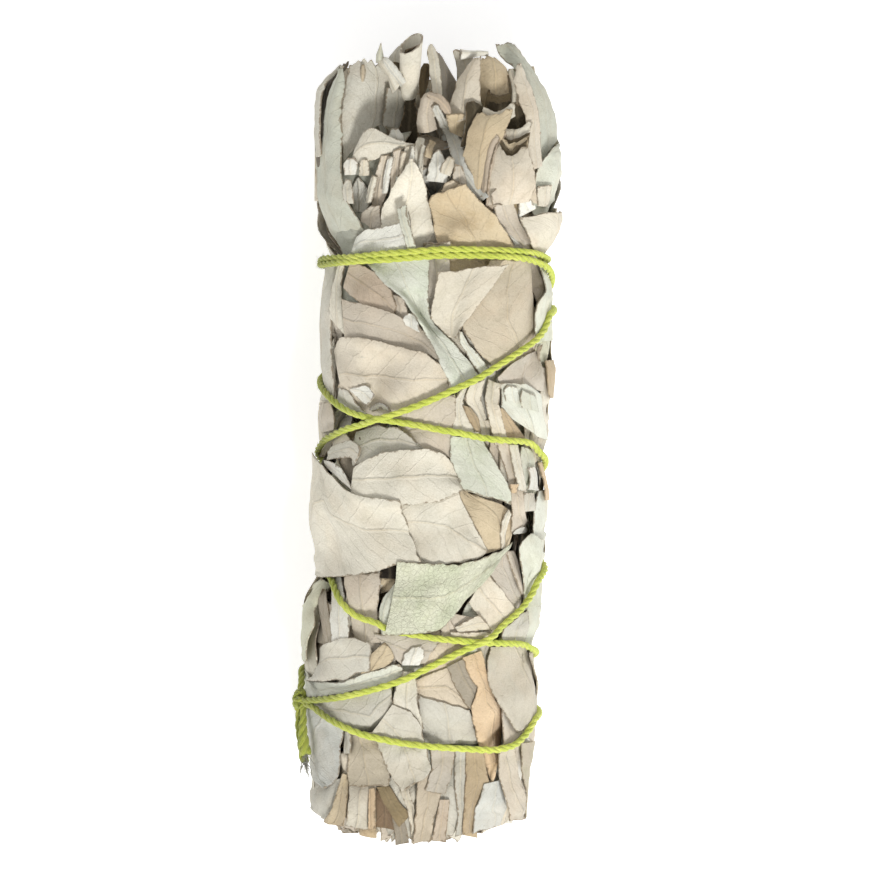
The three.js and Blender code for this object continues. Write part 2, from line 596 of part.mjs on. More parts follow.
function rootSpots(grid) {
  const spots = [];
  for (const [u, v, more] of spotShares(grid)) {
    const place = placeAt(grid, u, v);
    const here = cell(place.turn, place.y);
    const near = [];
    for (let a = -1; a <= 1; a += 1) {
      for (let b = -1; b <= 1; b += 1) near.push(cell(place.turn, place.y, a, b));
    }
    const node = holder[here];
    const lowest = Math.min(...near.map((k) => reach[k]));
    const flat = near.every((k) => holder[k] === node && Math.abs(reach[k] - reach[here]) < LEVEL_GROUND);
    const cost = more + FROM_ROOT * u;
    if (node >= 0 && flat) {
      const sink = stack[here].length ? SINK_IN_LEAF : SINK_IN_CORE;
      const air = place.r - BLADE / 2 - lowest;
      spots.push({ place, foot: lowest - sink, node, cost: cost + air });
    }
    const stem = coreHolder[here];
    const core = coreRadius(place.turn, place.y);
    if (stem > 0 && near.every((k) => coreHolder[k] === stem && stack[k].every((n) => n === stem))) {
      spots.push({ place, foot: core - SINK_IN_CORE, node: stem, cost: cost + place.r - core + THROUGH });
    }
  }
  spots.sort((a, b) => a.cost - b.cost);
  return spots.filter((spot) => spot.node === spots[0].node).slice(0, SPOTS_TRIED);
}

const PROUD = 0.7;             // how far a leaf's middle may stand out past the girth
const leaves = [];

function layLeaf(leaf, grid) {
  leaf.seed = leaves.length * SEED_STEP;
  drape(grid, leaf);
  shape(grid, leaf);
  const roots = leaf.own ? [] : rootSpots(grid);
  if (!leaf.own && !roots.length) return;
  let node = roots[0]?.node;
  if (leaf.own) {
    node = nodes.length;
    nodes.push({ name: leaf.name, tone: 3 + (node % 2), solids: [] });
  }
  mark(grid, node);
  leaves.push({ name: leaf.name, grid, roots, node, proud: leaf.proud ?? PROUD });
}

// How many steps a blade needs along and across, from its size and how far it bends
// round the stick.
const STEP_LENGTH = 8;
const NARROW = 3.2;            // a leaf narrower than this is one step across
const MOST_ROWS = 6;
const MOST_COLUMNS = 5;

function stepsFor(margins) {
  let along = 0;
  let turned = 0;
  let across = 0;
  let swept = 0;
  margins.forEach(([a, b], i) => {
    across = Math.max(across, Math.hypot((b.turn - a.turn) * MEAN_GIRTH, b.y - a.y));
    swept = Math.max(swept, Math.abs(b.turn - a.turn));
    if (i === 0) return;
    const [c, d] = margins[i - 1];
    along += Math.hypot((a.turn + b.turn - c.turn - d.turn) * MEAN_GIRTH, a.y + b.y - c.y - d.y) / 2;
    turned += Math.max(Math.abs(a.turn - c.turn), Math.abs(b.turn - d.turn));
  });
  const rows = Math.ceil(Math.max(along / STEP_LENGTH, turned / STEP_TURN));
  const columns = Math.ceil(Math.max(across / STEP_LENGTH, swept / STEP_TURN));
  return [clamp(rows, 2, MOST_ROWS), across < NARROW ? 1 : clamp(columns, 2, MOST_COLUMNS)];
}

function layPlanned(list) {
  const planned = list.map(([name, left, right, options]) => {
    const leaf = { name, left, right, ...options };
    if (leaf.level) leaf.level = levelOf(leaf, planPoints(left).concat(planPoints(right)));
    const [rows, columns] = stepsFor(marginsOf(leaf, 8));
    return { leaf, grid: gridOf(marginsOf(leaf, rows), columns) };
  });
  const over = layersOver(planned.map(({ grid }) => grid));
  planned.forEach(({ leaf, grid }, k) => layLeaf({ ...leaf, under: over[k] }, grid));
}

const BLADE_SHAPE = { from: 0.18, to: 0.94, fullness: 0.8 };  // part of a half wave
const SQUARE_ROOT = 0.75;      // width of a square leaf at its root, as a share
const SQUARE_SLANT = 0.4;

// A leaf described by where it grows: from y0 to y1 at an angle, with a lean in mm.
function layGrown({ turn, from, to, width, lean = 0, level, square = false, rows = 3, name }) {
  const margins = [];
  const radius = (level ?? 1) * girth((from + to) / 2);
  for (let i = 0; i <= rows; i += 1) {
    const u = i / rows;
    const wave = Math.PI * lerp(BLADE_SHAPE.from, BLADE_SHAPE.to, u);
    const full = square ? lerp(SQUARE_ROOT, 1, u) : Math.sin(wave) ** BLADE_SHAPE.fullness;
    const half = Math.max((full * width) / 2, LEAST_WIDTH / 2);
    const side = lean * u;
    const y = lerp(from, to, u);
    margins.push([
      { turn: turn + (side - half) / radius, y },
      { turn: turn + (side + half) / radius, y: y + (square ? SQUARE_SLANT : 0) },
    ]);
  }
  layLeaf({ name, level }, gridOf(margins, 2));
}

// ---------------------------------------------------------------- grown layers
// Leaves that stand out of a stem's own packed middle, at its tips and at its cut end:
// [distance from the axis, half width as a turn, y where they end].
const STEM_TIPS = [[6.8, 0.34, 47.5], [10.2, 0.33, 44.5]];
const STEM_FEET = [[6.6, 0.3, -49.6], [9.6, 0.34, -49.2]];
const HEART_TIPS = [[0.3, 47.0], [2.4, 48.2], [4.5, 45.6]];  // [turn, y where it ends]
const HEART_TIP = { r: 2.4, half: 0.9, stations: [37, 41, 44.5], widths: [0.5, 0.9, 1, 0.45] };
const TIP_WIDTHS = [0.7, 1, 0.5];
const FOOT_ROOT = -45;
const TIP_ROOT = [45, 22];     // y of a tip's root, at the axis and at TIP_ROOT_REACH from it
const TIP_ROOT_REACH = 11.2;
const TIP_VARY = 1;            // how much the tips and the feet differ in length
const FOOT_VARY = 0.8;
const TIP_PLAY = 0.46;         // half the turn over which a tip or a foot may stand
const FOOT_PLAY = 0.44;
const STAND_BEND = 0.25;       // how far the middle of the blade stands out

function standing(turn, r, half, stations, widths) {
  return stations.map((y, i) => [-1, 0, 1].map((side) => ({
    turn: turn + side * half * widths[i], y, r: r + STAND_BEND * (1 - side * side) })));
}

function layStanding() {
  const draw = random(11);
  const grown = [];
  const add = (node, grid) => {
    mark(grid, node);
    grown.push({ name: 'standing', grid, roots: [], node, proud: PROUD });
  };
  for (const [turn, end] of HEART_TIPS) {
    const { r, half, stations, widths } = HEART_TIP;
    add(HEART, standing(turn, r, half, [...stations, end], widths));
  }
  for (let k = 1; k <= SECTORS; k += 1) {
    for (const [r, half, end] of STEM_TIPS) {
      const turn = (k - 1) * SECTOR_TURN + (TIP_PLAY - half) * (2 * draw() - 1);
      const root = lerp(...TIP_ROOT, r / TIP_ROOT_REACH);
      const top = end + TIP_VARY * (2 * draw() - 1);
      add(k, standing(turn, r, half, [root, (root + top) / 2, top], TIP_WIDTHS));
    }
    for (const [r, half, end] of STEM_FEET) {
      const turn = (k - 1) * SECTOR_TURN + (FOOT_PLAY - half) * (2 * draw() - 1);
      add(k, standing(turn, r, half, [FOOT_ROOT, end + FOOT_VARY * draw()], [1, 1]));
    }
  }
  leaves.push(...grown);
}

// Lines of the twine underneath: from y on the right side to y on the left side.
const BACK_FROM = Math.PI / 2;
const BACK_TO = 1.5 * Math.PI;
const TWINE_BERTH = 0.9;       // a leaf underneath ends this far from a line of the twine
const SHORTEST_LEAF = 6;
const LONG_LEAF = 15;
const BACK_COLUMNS = 9;
const BACK_ENDS = [-50, 43];   // the layer underneath reaches from here to here
const BACK_LAST_LINE = -28;    // y on the left side where the last turn comes up
const BACK_WIDTH = [6.5, 2];   // least width, and how much more it may be
const BACK_LEAN = 0.8;
const BACK_TIPS = { vary: 4, level: 0.95 };

function backLines() {
  const ends = TWINE_TURNS.map((text) => {
    const points = planPoints(text);
    return [points[0].y, points[points.length - 1].y];
  });
  return ends.map(([, right], k) => [right, k + 1 < ends.length ? ends[k + 1][0] : BACK_LAST_LINE]);
}

function layUnderside() {
  const draw = random(53);
  const lines = backLines();
  for (const first of [0, 1]) {
    for (let k = first; k < BACK_COLUMNS; k += 2) {
      const share = (k + 0.5) / BACK_COLUMNS;
      const turn = lerp(BACK_FROM, BACK_TO, share);
      const stops = lines.map(([a, b]) => lerp(a, b, share)).concat(BACK_ENDS).sort((a, b) => a - b);
      for (let n = 1; n < stops.length; n += 1) {
        const low = stops[n - 1] + (n === 1 ? 0 : TWINE_BERTH);
        const atTips = n === stops.length - 1;
        const high = stops[n] - TWINE_BERTH + (atTips ? BACK_TIPS.vary * draw() : 0);
        if (high - low < SHORTEST_LEAF) continue;
        layGrown({
          name: 'back', turn, from: low, to: high, width: BACK_WIDTH[0] + BACK_WIDTH[1] * draw(),
          lean: BACK_LEAN * (2 * draw() - 1),
          level: atTips ? BACK_TIPS.level : undefined,
          rows: high - low > LONG_LEAF ? 3 : 2,
        });
      }
    }
  }
}

// ---------------------------------------------------------------- twine
// The last turn comes up to the knot past these: [turn before a full one, y].
const LAST_RISE = [[1.75, -28], [1.5, -29.6]];
const TWINE_STEP = 4.2;
const TWINE_SAMPLES = 6;
const TWINE_SAG = 0.1;         // a chord of the twine's polygon lies this much lower
const TWINE_PASSES = 40;
const TWINE_PULL = 0.03;       // how much it tightens in each pass
const TWINE_REACH = 0.7;       // its middle lies this far out from the leaf skin, about
const MARKS_PER_STEP = 12;

function twineRoute() {
  const places = [{ turn: KNOT.turn * TURN, y: KNOT.y }];
  TWINE_TURNS.forEach((text, lap) => {
    for (const p of planPoints(text)) {
      const q = clamp((p.x - middleX(p.y)) / (girth(p.y) + TWINE_REACH), -1, 1);
      places.push({ turn: lap * TURN + Math.asin(q), y: p.y });
    }
  });
  const last = TWINE_TURNS.length * TURN;
  LAST_RISE.forEach(([before, y]) => places.push({ turn: last - before, y }));
  places.push({ turn: last + KNOT.turn * TURN, y: KNOT.y });
  return evenSteps(places, TWINE_STEP);
}

function evenSteps(places, step) {
  const flat = places.map((p) => ({ x: p.turn * MEAN_GIRTH, y: p.y }));
  let total = 0;
  for (let k = 1; k < flat.length; k += 1) {
    total += Math.hypot(flat[k].x - flat[k - 1].x, flat[k].y - flat[k - 1].y);
  }
  const count = Math.round(total / step);
  return Array.from({ length: count + 1 }, (_, k) => {
    const p = pointAlong(flat, k / count);
    return { turn: p.x / MEAN_GIRTH, y: p.y, r: 0, lift: 0 };
  });
}

function layTwine() {
  const route = twineRoute();
  const radius = TWINE_DIAMETER / 2;
  const holds = route.map(() => []);
  for (let k = 0; k < route.length - 1; k += 1) {
    for (let s = 0; s < TWINE_SAMPLES; s += 1) {
      const t = s / TWINE_SAMPLES;
      const turn = lerp(route[k].turn, route[k + 1].turn, t);
      const y = lerp(route[k].y, route[k + 1].y, t);
      const least = reachNear(turn, y) + radius + CLEAR + TWINE_SAG;
      holds[k].push({ least, weight: 1 - t, other: route[k + 1] });
      if (t > 0) holds[k + 1].push({ least, weight: t, other: route[k] });
      route[k].r = Math.max(route[k].r, least);
      route[k + 1].r = Math.max(route[k + 1].r, least);
    }
  }
  for (let pass = 0; pass < TWINE_PASSES; pass += 1) {
    for (let k = 0; k < route.length; k += 1) {
      const before = route[Math.max(k - 1, 0)].r;
      const after = route[Math.min(k + 1, route.length - 1)].r;
      let low = (before + after) / 2 - TWINE_PULL;
      for (const { least, weight, other } of holds[k]) {
        low = Math.max(low, (least - (1 - weight) * other.r) / weight);
      }
      route[k].r = Math.min(route[k].r, low);
    }
  }
  return route;
}

// Where two turns cross on top, the one that was wound later rides over the other.
const OVERLAP_LIFT = 0.75;

function crossing(a, b, c, d) {
  const shift = Math.round((c.turn - a.turn) / TURN) * TURN;
  const side = (p, q, m, off) => (
    (q.turn - p.turn) * (m.y - p.y) - (q.y - p.y) * (m.turn - off - p.turn));
  const apart = side(a, b, c, shift) * side(a, b, d, shift) > 0;
  const back = { turn: c.turn - shift, y: c.y };
  const ahead = { turn: d.turn - shift, y: d.y };
  return !apart && side(back, ahead, a, 0) * side(back, ahead, b, 0) <= 0;
}

function liftCrossings(route) {
  for (let k = 0; k + 1 < route.length; k += 1) {
    for (let n = k + 2; n + 1 < route.length; n += 1) {
      if (!crossing(route[k], route[k + 1], route[n], route[n + 1])) continue;
      route[k].lift = OVERLAP_LIFT;
      route[k + 1].lift = OVERLAP_LIFT;
    }
  }
}

function markTwine(route) {
  const radius = TWINE_DIAMETER / 2;
  for (let k = 0; k < route.length - 1; k += 1) {
    for (let s = 0; s < MARKS_PER_STEP; s += 1) {
      const t = s / MARKS_PER_STEP;
      const turn = lerp(route[k].turn, route[k + 1].turn, t);
      const y = lerp(route[k].y, route[k + 1].y, t);
      const r = lerp(route[k].r + route[k].lift, route[k + 1].r + route[k + 1].lift, t) + radius;
      for (const off of [-radius, 0, radius]) {
        const here = cell(turn, y + off);
        if (r <= reach[here]) continue;
        reach[here] = r;
        holder[here] = TWINE_NODE;
      }
    }
  }
}

// ---------------------------------------------------------------- final girth
// The layers are piled from the core outwards, and then every piece moves in or out by
// one smooth amount, so that the skin has its girth, a pinch at the twine and a flat
// underside.
const settle = new Float64Array(CELLS_ROUND * CELLS_LONG);
const FAR = 99;
const EDGE = 1e-3;
const SKIN_SPREAD = 4;         // cells over which the pile is evened out,
const SKIN_ALONG = 3;
const SETTLE_SPREAD = 3;       // and the settling after it
const HELD = [-45, 25];        // the skin's settling is taken from between these lengths
const FADE = [24, 44];         // and fades away along the tips
const SKIN_OVER = 0.2;         // the skin's height over the girth,
const PRESS_OVER = 0.1;        // and how far it is pressed onto the surface
const PRESSED_FROM = 0.5;      // from here to straight down, as -cos(turn)
const UNDERSIDE = [0.1, 0.8];
const PINCH_REACH = 6;
const STILL_RADIUS = 3;        // nothing settles nearer to the axis,
const LOOSE_RADIUS = 11;       // and everything settles fully beyond this

function blurred(source, spanRound, spanLong) {
  let values = source;
  for (let pass = 0; pass < 2; pass += 1) {
    const next = new Float64Array(values.length);
    for (let a = 0; a < CELLS_ROUND; a += 1) {
      for (let b = 0; b < CELLS_LONG; b += 1) {
        let sum = 0;
        for (let d = -spanRound; d <= spanRound; d += 1) {
          sum += values[((a + d + CELLS_ROUND) % CELLS_ROUND) * CELLS_LONG + b];
        }
        next[a * CELLS_LONG + b] = sum / (2 * spanRound + 1);
      }
    }
    const last = new Float64Array(values.length);
    for (let a = 0; a < CELLS_ROUND; a += 1) {
      for (let b = 0; b < CELLS_LONG; b += 1) {
        let sum = 0;
        for (let d = -spanLong; d <= spanLong; d += 1) {
          sum += next[a * CELLS_LONG + clamp(b + d, 0, CELLS_LONG - 1)];
        }
        last[a * CELLS_LONG + b] = sum / (2 * spanLong + 1);
      }
    }
    values = last;
  }
  return values;
}

function widened(source, spanRound, spanLong) {
  const next = new Float64Array(source.length);
  for (let a = 0; a < CELLS_ROUND; a += 1) {
    for (let b = 0; b < CELLS_LONG; b += 1) {
      let best = 0;
      for (let d = -spanRound; d <= spanRound; d += 1) {
        for (let e = -spanLong; e <= spanLong; e += 1) {
          const k = ((a + d + CELLS_ROUND) % CELLS_ROUND) * CELLS_LONG + clamp(b + e, 0, CELLS_LONG - 1);
          best = Math.max(best, source[k]);
        }
      }
      next[a * CELLS_LONG + b] = best;
    }
  }
  return next;
}

function settleAll(pile, route) {
  const skin = blurred(widened(pile, SKIN_SPREAD, SKIN_SPREAD), SKIN_SPREAD, SKIN_ALONG);
  const raw = new Float64Array(settle.length);
  for (let a = 0; a < CELLS_ROUND; a += 1) {
    const turn = ((a + 0.5) / CELLS_ROUND) * TURN;
    const down = -Math.cos(turn);
    for (let b = 0; b < CELLS_LONG; b += 1) {
      const y = LONG_FROM + (b + 0.5) * CELL_LENGTH;
      const flat = down > PRESSED_FROM ? AXIS_HEIGHT / down + PRESS_OVER : FAR;
      const held = clamp(y, ...HELD);
      const target = Math.min(girth(held) + SKIN_OVER, flat);
      const fade = 1 - smooth(y, ...FADE);
      const move = (target - skin[cell(turn, held)]) * fade;
      const over = skin[cell(turn, y)] + move - Math.min(girth(y) + SKIN_OVER, flat);
      raw[a * CELLS_LONG + b] = y > HELD[1] ? move - Math.max(over, 0) : move;
    }
  }
  settle.set(blurred(raw, SETTLE_SPREAD, SETTLE_SPREAD));
  for (let a = 0; a < CELLS_ROUND; a += 1) {
    const turn = ((a + 0.5) / CELLS_ROUND) * TURN;
    const depth = lerp(PINCH_FRONT, PINCH_BELOW, smooth(-Math.cos(turn), ...UNDERSIDE));
    for (let b = 0; b < CELLS_LONG; b += 1) {
      const y = LONG_FROM + (b + 0.5) * CELL_LENGTH;
      let near = FAR;
      for (const p of route) {
        const turned = Math.abs((((p.turn - turn) / TURN) % 1 + 1) % 1);
        const round = Math.min(turned, 1 - turned) * TURN * MEAN_GIRTH;
        near = Math.min(near, Math.hypot(round, p.y - y));
      }
      if (near > PINCH_REACH) continue;
      settle[a * CELLS_LONG + b] -= depth * Math.exp(-0.5 * (near / PINCH_WIDTH) ** 2);
    }
  }
}

function settleAt(turn, y) {
  const a = ((turn / TURN) % 1 + 1) % 1 * CELLS_ROUND - 0.5;
  const b = clamp((y - LONG_FROM) / CELL_LENGTH - 0.5, 0, CELLS_LONG - 1 - EDGE);
  const i = Math.floor(a);
  const j = Math.floor(b);
  const at = (m, n) => settle[((m + CELLS_ROUND) % CELLS_ROUND) * CELLS_LONG + n];
  return lerp(lerp(at(i, j), at(i + 1, j), a - i), lerp(at(i, j + 1), at(i + 1, j + 1), a - i), b - j);
}

// The middle of the stick moves less than its skin, and nothing stands out more than
// its proud allows.
function settled(place, r = place.r, proud = FAR) {
  const share = clamp((r - STILL_RADIUS) / (LOOSE_RADIUS - STILL_RADIUS), 0, 1);
  const free = r + share * settleAt(place.turn, place.y);
  return { ...place, r: Math.min(free, girth(place.y) + proud) };
}

// ---------------------------------------------------------------- closed solids
function closed(points, faces) {
  let volume = 0;
  for (const [a, b, c] of faces) {
    volume += points[a].dot(new THREE.Vector3().crossVectors(points[b], points[c]));
  }
  const order = volume > 0 ? faces : faces.map(([a, b, c]) => [a, c, b]);
  return new wasm.Manifold(new wasm.Mesh({
    numProp: 3,
    vertProperties: new Float32Array(points.flatMap((p) => [p.x, p.y, p.z])),
    triVerts: new Uint32Array(order.flat()),
  }));
}

function solidOf(geometry) {
  geometry.deleteAttribute('normal');
  geometry.deleteAttribute('uv');
  const merged = mergeVertices(geometry, 1e-4);
  const position = merged.attributes.position;
  const points = Array.from({ length: position.count }, (_, k) => (
    new THREE.Vector3().fromBufferAttribute(position, k)));
  const faces = [];
  const index = merged.index.array;
  for (let k = 0; k < index.length; k += 3) {
    const [a, b, c] = [index[k], index[k + 1], index[k + 2]];
    if (a !== b && b !== c && c !== a) faces.push([a, b, c]);
  }
  return closed(points, faces);
}

function geometryOf(solid) {
  const mesh = solid.getMesh();
  const geometry = new THREE.BufferGeometry();
  geometry.setAttribute('position', new THREE.BufferAttribute(new Float32Array(mesh.vertProperties), 3));
  geometry.setIndex(new THREE.BufferAttribute(new Uint32Array(mesh.triVerts), 1));
  geometry.computeVertexNormals();
  return geometry;
}

// Two sheets of points, joined along their rims, split into triangles alike.
function slab(outer, inner) {
  const rows = outer.length;
  const columns = outer[0].length;
  const points = [...outer.flat(), ...inner.flat()];
  const at = (side, i, j) => side * rows * columns + i * columns + j;
  const faces = [];
  for (let i = 0; i + 1 < rows; i += 1) {
    for (let j = 0; j + 1 < columns; j += 1) {
      faces.push([at(0, i, j), at(0, i + 1, j), at(0, i + 1, j + 1)]);
      faces.push([at(0, i, j), at(0, i + 1, j + 1), at(0, i, j + 1)]);
      faces.push([at(1, i, j), at(1, i + 1, j + 1), at(1, i + 1, j)]);
      faces.push([at(1, i, j), at(1, i, j + 1), at(1, i + 1, j + 1)]);
    }
  }
  const rim = [];
  for (let j = 0; j < columns; j += 1) rim.push([0, j]);
  for (let i = 1; i < rows; i += 1) rim.push([i, columns - 1]);
  for (let j = columns - 2; j >= 0; j -= 1) rim.push([rows - 1, j]);
  for (let i = rows - 2; i > 0; i -= 1) rim.push([i, 0]);
  rim.forEach(([i, j], k) => {
    const [m, n] = rim[(k + 1) % rim.length];
    faces.push([at(0, i, j), at(0, m, n), at(1, m, n)]);
    faces.push([at(0, i, j), at(1, m, n), at(1, i, j)]);
  });
  return closed(points, faces);
}

const SQUASHED = 0.35;         // least length of a cross product that gives a normal

// A blade of one thickness round a sheet of places; more widens it on every side.
function blade(grid, proud, more = 0) {
  const middle = grid.map((line) => line.map((place) => toSpace(settled(place, place.r, proud))));
  const rows = middle.length;
  const columns = middle[0].length;
  const step = (i, j, di, dj) => {
    const a = middle[clamp(i + di, 0, rows - 1)][clamp(j + dj, 0, columns - 1)];
    const b = middle[clamp(i - di, 0, rows - 1)][clamp(j - dj, 0, columns - 1)];
    return new THREE.Vector3().subVectors(a, b).normalize();
  };
  const sheets = [[], []];
  for (let i = 0; i < rows; i += 1) {
    const lines = [[], []];
    for (let j = 0; j < columns; j += 1) {
      const down = step(i, j, 1, 0);
      const across = step(i, j, 0, 1);
      const normal = new THREE.Vector3().crossVectors(down, across);
      const place = grid[i][j];
      const out = new THREE.Vector3(Math.sin(place.turn), 0, Math.cos(place.turn));
      if (normal.length() < SQUASHED) normal.copy(out);
      normal.normalize();
      if (normal.dot(out) < 0) normal.negate();
      const p = middle[i][j].clone();
      if (i === 0) p.addScaledVector(down, -more);
      if (i === rows - 1) p.addScaledVector(down, more);
      if (j === 0) p.addScaledVector(across, -more);
      if (j === columns - 1) p.addScaledVector(across, more);
      lines[0].push(p.clone().addScaledVector(normal, BLADE / 2 + more));
      lines[1].push(p.clone().addScaledVector(normal, -BLADE / 2 - more));
    }
    sheets[0].push(lines[0]);
    sheets[1].push(lines[1]);
  }
  return slab(sheets[0], sheets[1]);
}

// The short stalk under a leaf, a three-sided peg from inside the blade into what it
// grows on.
const STALK = 0.55;            // from its middle to a corner
const STALK_RISE = 0.18;       // how far it reaches past the middle of the blade
const LEAST_HOLD = [0.03, 0.04];   // volume shared with the blade and with what holds it

function stalk({ place, foot }) {
  const middle = girth(place.y);
  const ring = (r) => Array.from({ length: 3 }, (_, k) => {
    const a = (k / 3) * TURN;
    const y = place.y + STALK * Math.cos(a);
    const turn = place.turn + (STALK * Math.sin(a)) / middle;
    return toSpace({ turn, y, r: settled(place, r).r });
  });
  const points = [...ring(foot), ...ring(place.r + STALK_RISE)];
  const faces = [[0, 1, 2], [3, 5, 4]];
  for (let k = 0; k < 3; k += 1) {
    const n = (k + 1) % 3;
    faces.push([k, n + 3, n], [k, k + 3, n + 3]);
  }
  return closed(points, faces);
}

// Lofts closed rings of points into one solid with flat ends.
function loft(rings) {
  const count = rings[0].length;
  const points = rings.flat();
  const faces = [];
  for (let i = 0; i + 1 < rings.length; i += 1) {
    for (let k = 0; k < count; k += 1) {
      const a = i * count + k;
      const b = i * count + ((k + 1) % count);
      faces.push([a, b, b + count], [a, b + count, a + count]);
    }
  }
  const end = (rings.length - 1) * count;
  for (let k = 1; k + 1 < count; k += 1) {
    faces.push([0, k + 1, k], [end, end + k, end + k + 1]);
  }
  return closed(points, faces);
}

const CORE_SLACK = 0.3;        // the packed middle stays this much under its first leaves
const CORE_COLUMNS = 4;        // facets over the outside of one stem
const CORE_STATIONS = [-47.5, -43, -38, -30, -22, -14, -6, 2, 10, 18, 24, 31, 36, 40];

function sectorCore(number) {
  const middle = (number - 1) * SECTOR_TURN;
  const inner = HEART_RADIUS + SECTOR_GAP;
  const rings = CORE_STATIONS.map((y) => {
    const edge = (r) => SECTOR_TURN / 2 - Math.asin(SECTOR_GAP / 2 / r);
    const ring = [];
    for (let k = -CORE_COLUMNS / 2; k <= CORE_COLUMNS / 2; k += 1) {
      const rough = middle + (k / CORE_COLUMNS) * SECTOR_TURN;
      const basis = coreRadius(rough, y);
      const turn = middle + (k / (CORE_COLUMNS / 2)) * edge(basis);
      const { r } = settled({ turn, y }, basis - CORE_SLACK);
      ring.push(toSpace({ turn, y, r: Math.max(r, LEAST_CORE) }));
    }
    for (const side of [1, -1]) ring.push(toSpace({ turn: middle + side * edge(inner), y, r: inner }));
    return ring;
  });
  return loft(rings);
}

const STALK_END = -49.6;       // cut ends of the woody stems
const WOOD_RADIUS = 1.15;
const WOOD_FROM = -40;
const WOOD_OFF_AXIS = 7.2;

function roundBar(turn, r, from, to, radius, sides = 6) {
  const rings = [from, to].map((y) => Array.from({ length: sides }, (_, k) => {
    const centre = toSpace({ turn, y, r });
    const a = (k / sides) * TURN;
    return centre.add(new THREE.Vector3(radius * Math.cos(a), 0, radius * Math.sin(a)));
  }));
  return loft(rings);
}

function heartCore() {
  const rings = CORE_STATIONS.map((y) => Array.from({ length: SECTORS }, (_, k) => (
    toSpace({ turn: (k + 0.5) * SECTOR_TURN, y, r: HEART_RADIUS }))));
  return loft(rings);
}

// ---------------------------------------------------------------- making of the twine
const TWINE_SIDES = 6;
const TWINE_PROUD = 0.4;
const TWINE_OFF_SURFACE = 0.18;
const UNDERNEATH = 0.5;        // past this -cos(turn) the surface limits the twine

function twineCurve(route) {
  const radius = TWINE_DIAMETER / 2;
  return new THREE.CatmullRomCurve3(route.map((p) => {
    const place = settled(p, p.r, TWINE_PROUD);
    place.r += p.lift;
    const down = -Math.cos(place.turn);
    const lowest = AXIS_HEIGHT - radius - TWINE_OFF_SURFACE;
    if (down > UNDERNEATH) place.r = Math.min(place.r, lowest / down);
    return toSpace(place);
  }));
}

function tube(curve, steps, radius) {
  const section = new THREE.Shape(Array.from({ length: TWINE_SIDES }, (_, k) => {
    const a = (k / TWINE_SIDES) * TURN;
    return new THREE.Vector2(radius * Math.cos(a), radius * Math.sin(a));
  }));
  return solidOf(new THREE.ExtrudeGeometry(section, { steps, extrudePath: curve, bevelEnabled: false }));
}

const KNOT_SHAPE = [1, 1.25, 0.9];

function knotSolid(centre) {
  const ball = new THREE.IcosahedronGeometry(KNOT.size, 1);
  ball.scale(...KNOT_SHAPE);
  ball.translate(centre.x, centre.y, centre.z);
  return solidOf(ball);
}

const TAILS = [
  [[0, 0, 0], [0.1, -1.6, -0.5], [0.35, -3.6, -0.9], [0.9, -6.2, -0.6], [1.3, -8.6, 0.1]],
  [[0, 0, 0], [0.7, -1.6, 0.5], [1.0, -3.6, 0.6], [1.5, -6.0, 1.0]],
];
const TAIL_RADIUS = 0.52;

function tailSolid(centre, offsets) {
  const curve = new THREE.CatmullRomCurve3(offsets.map(([x, y, z]) => (
    new THREE.Vector3(centre.x + x, centre.y + y, centre.z + z))));
  return tube(curve, 6, TAIL_RADIUS);
}

// ---------------------------------------------------------------- laying the stick
layCore();
coreHolder.set(holder);
layStanding();
layUnderside();
[CROWN.concat(UPPER), MIDDLE_UPPER, MIDDLE, LOWER, TIES, CUT_END].forEach(layPlanned);
const pile = reach.slice();
const route = layTwine();
liftCrossings(route);
markTwine(route);
layPlanned(OVER_TWINE);
settleAll(pile, route);

// ---------------------------------------------------------------- joining and cutting
const KNOT_PROUD = 0.3;
const TWINE_ROOM = 0.3;        // air round the twine, where a leaf is cut back for it
const KNOT_ROOM = 0.5;
const BLADE_ROOM = 0.28;       // air round a blade, where another leaf is cut back for it

const centre = (() => {
  const first = settled(route[0]);
  return toSpace({ ...first, r: first.r + KNOT_PROUD });
})();
const curve = twineCurve(route);
let twine = tube(curve, route.length - 1, TWINE_DIAMETER / 2).add(knotSolid(centre));
TAILS.forEach((offsets) => { twine = twine.add(tailSolid(centre, offsets)); });
const roomForTwine = tube(curve, route.length - 1, TWINE_DIAMETER / 2 + TWINE_ROOM)
  .add(solidOf(new THREE.IcosahedronGeometry(KNOT.size + KNOT_ROOM, 1).translate(...centre.toArray())))
  .add(tailSolid(centre, TAILS[0])).add(tailSolid(centre, TAILS[1]));

function largest(solid) {
  const bodies = solid.decompose();
  if (bodies.length < 2) return solid;
  return bodies.reduce((a, b) => (b.volume() > a.volume() ? b : a));
}

const pieces = leaves.map((leaf) => ({
  name: leaf.name,
  node: leaf.node,
  roots: leaf.roots,
  solid: blade(leaf.grid, leaf.proud),
  wide: () => blade(leaf.grid, leaf.proud, BLADE_ROOM),
}));
const cores = nodes.slice(0, SECTORS + 1).map((_, k) => {
  const core = k === HEART ? heartCore() : sectorCore(k);
  const offAxis = k === HEART ? 0 : WOOD_OFF_AXIS;
  const wood = roundBar((k - 1) * SECTOR_TURN, offAxis, WOOD_FROM, STALK_END, WOOD_RADIUS);
  return { name: 'core', node: k, roots: [], solid: core.add(wood) };
});

function boxesMeet(a, b) {
  return [0, 1, 2].every((k) => a.min[k] < b.max[k] && b.min[k] < a.max[k]);
}
function shared(a, b) {
  if (!boxesMeet(a.boundingBox(), b.boundingBox())) return 0;
  return a.intersect(b).volume();
}
const MEETS = 1e-6;

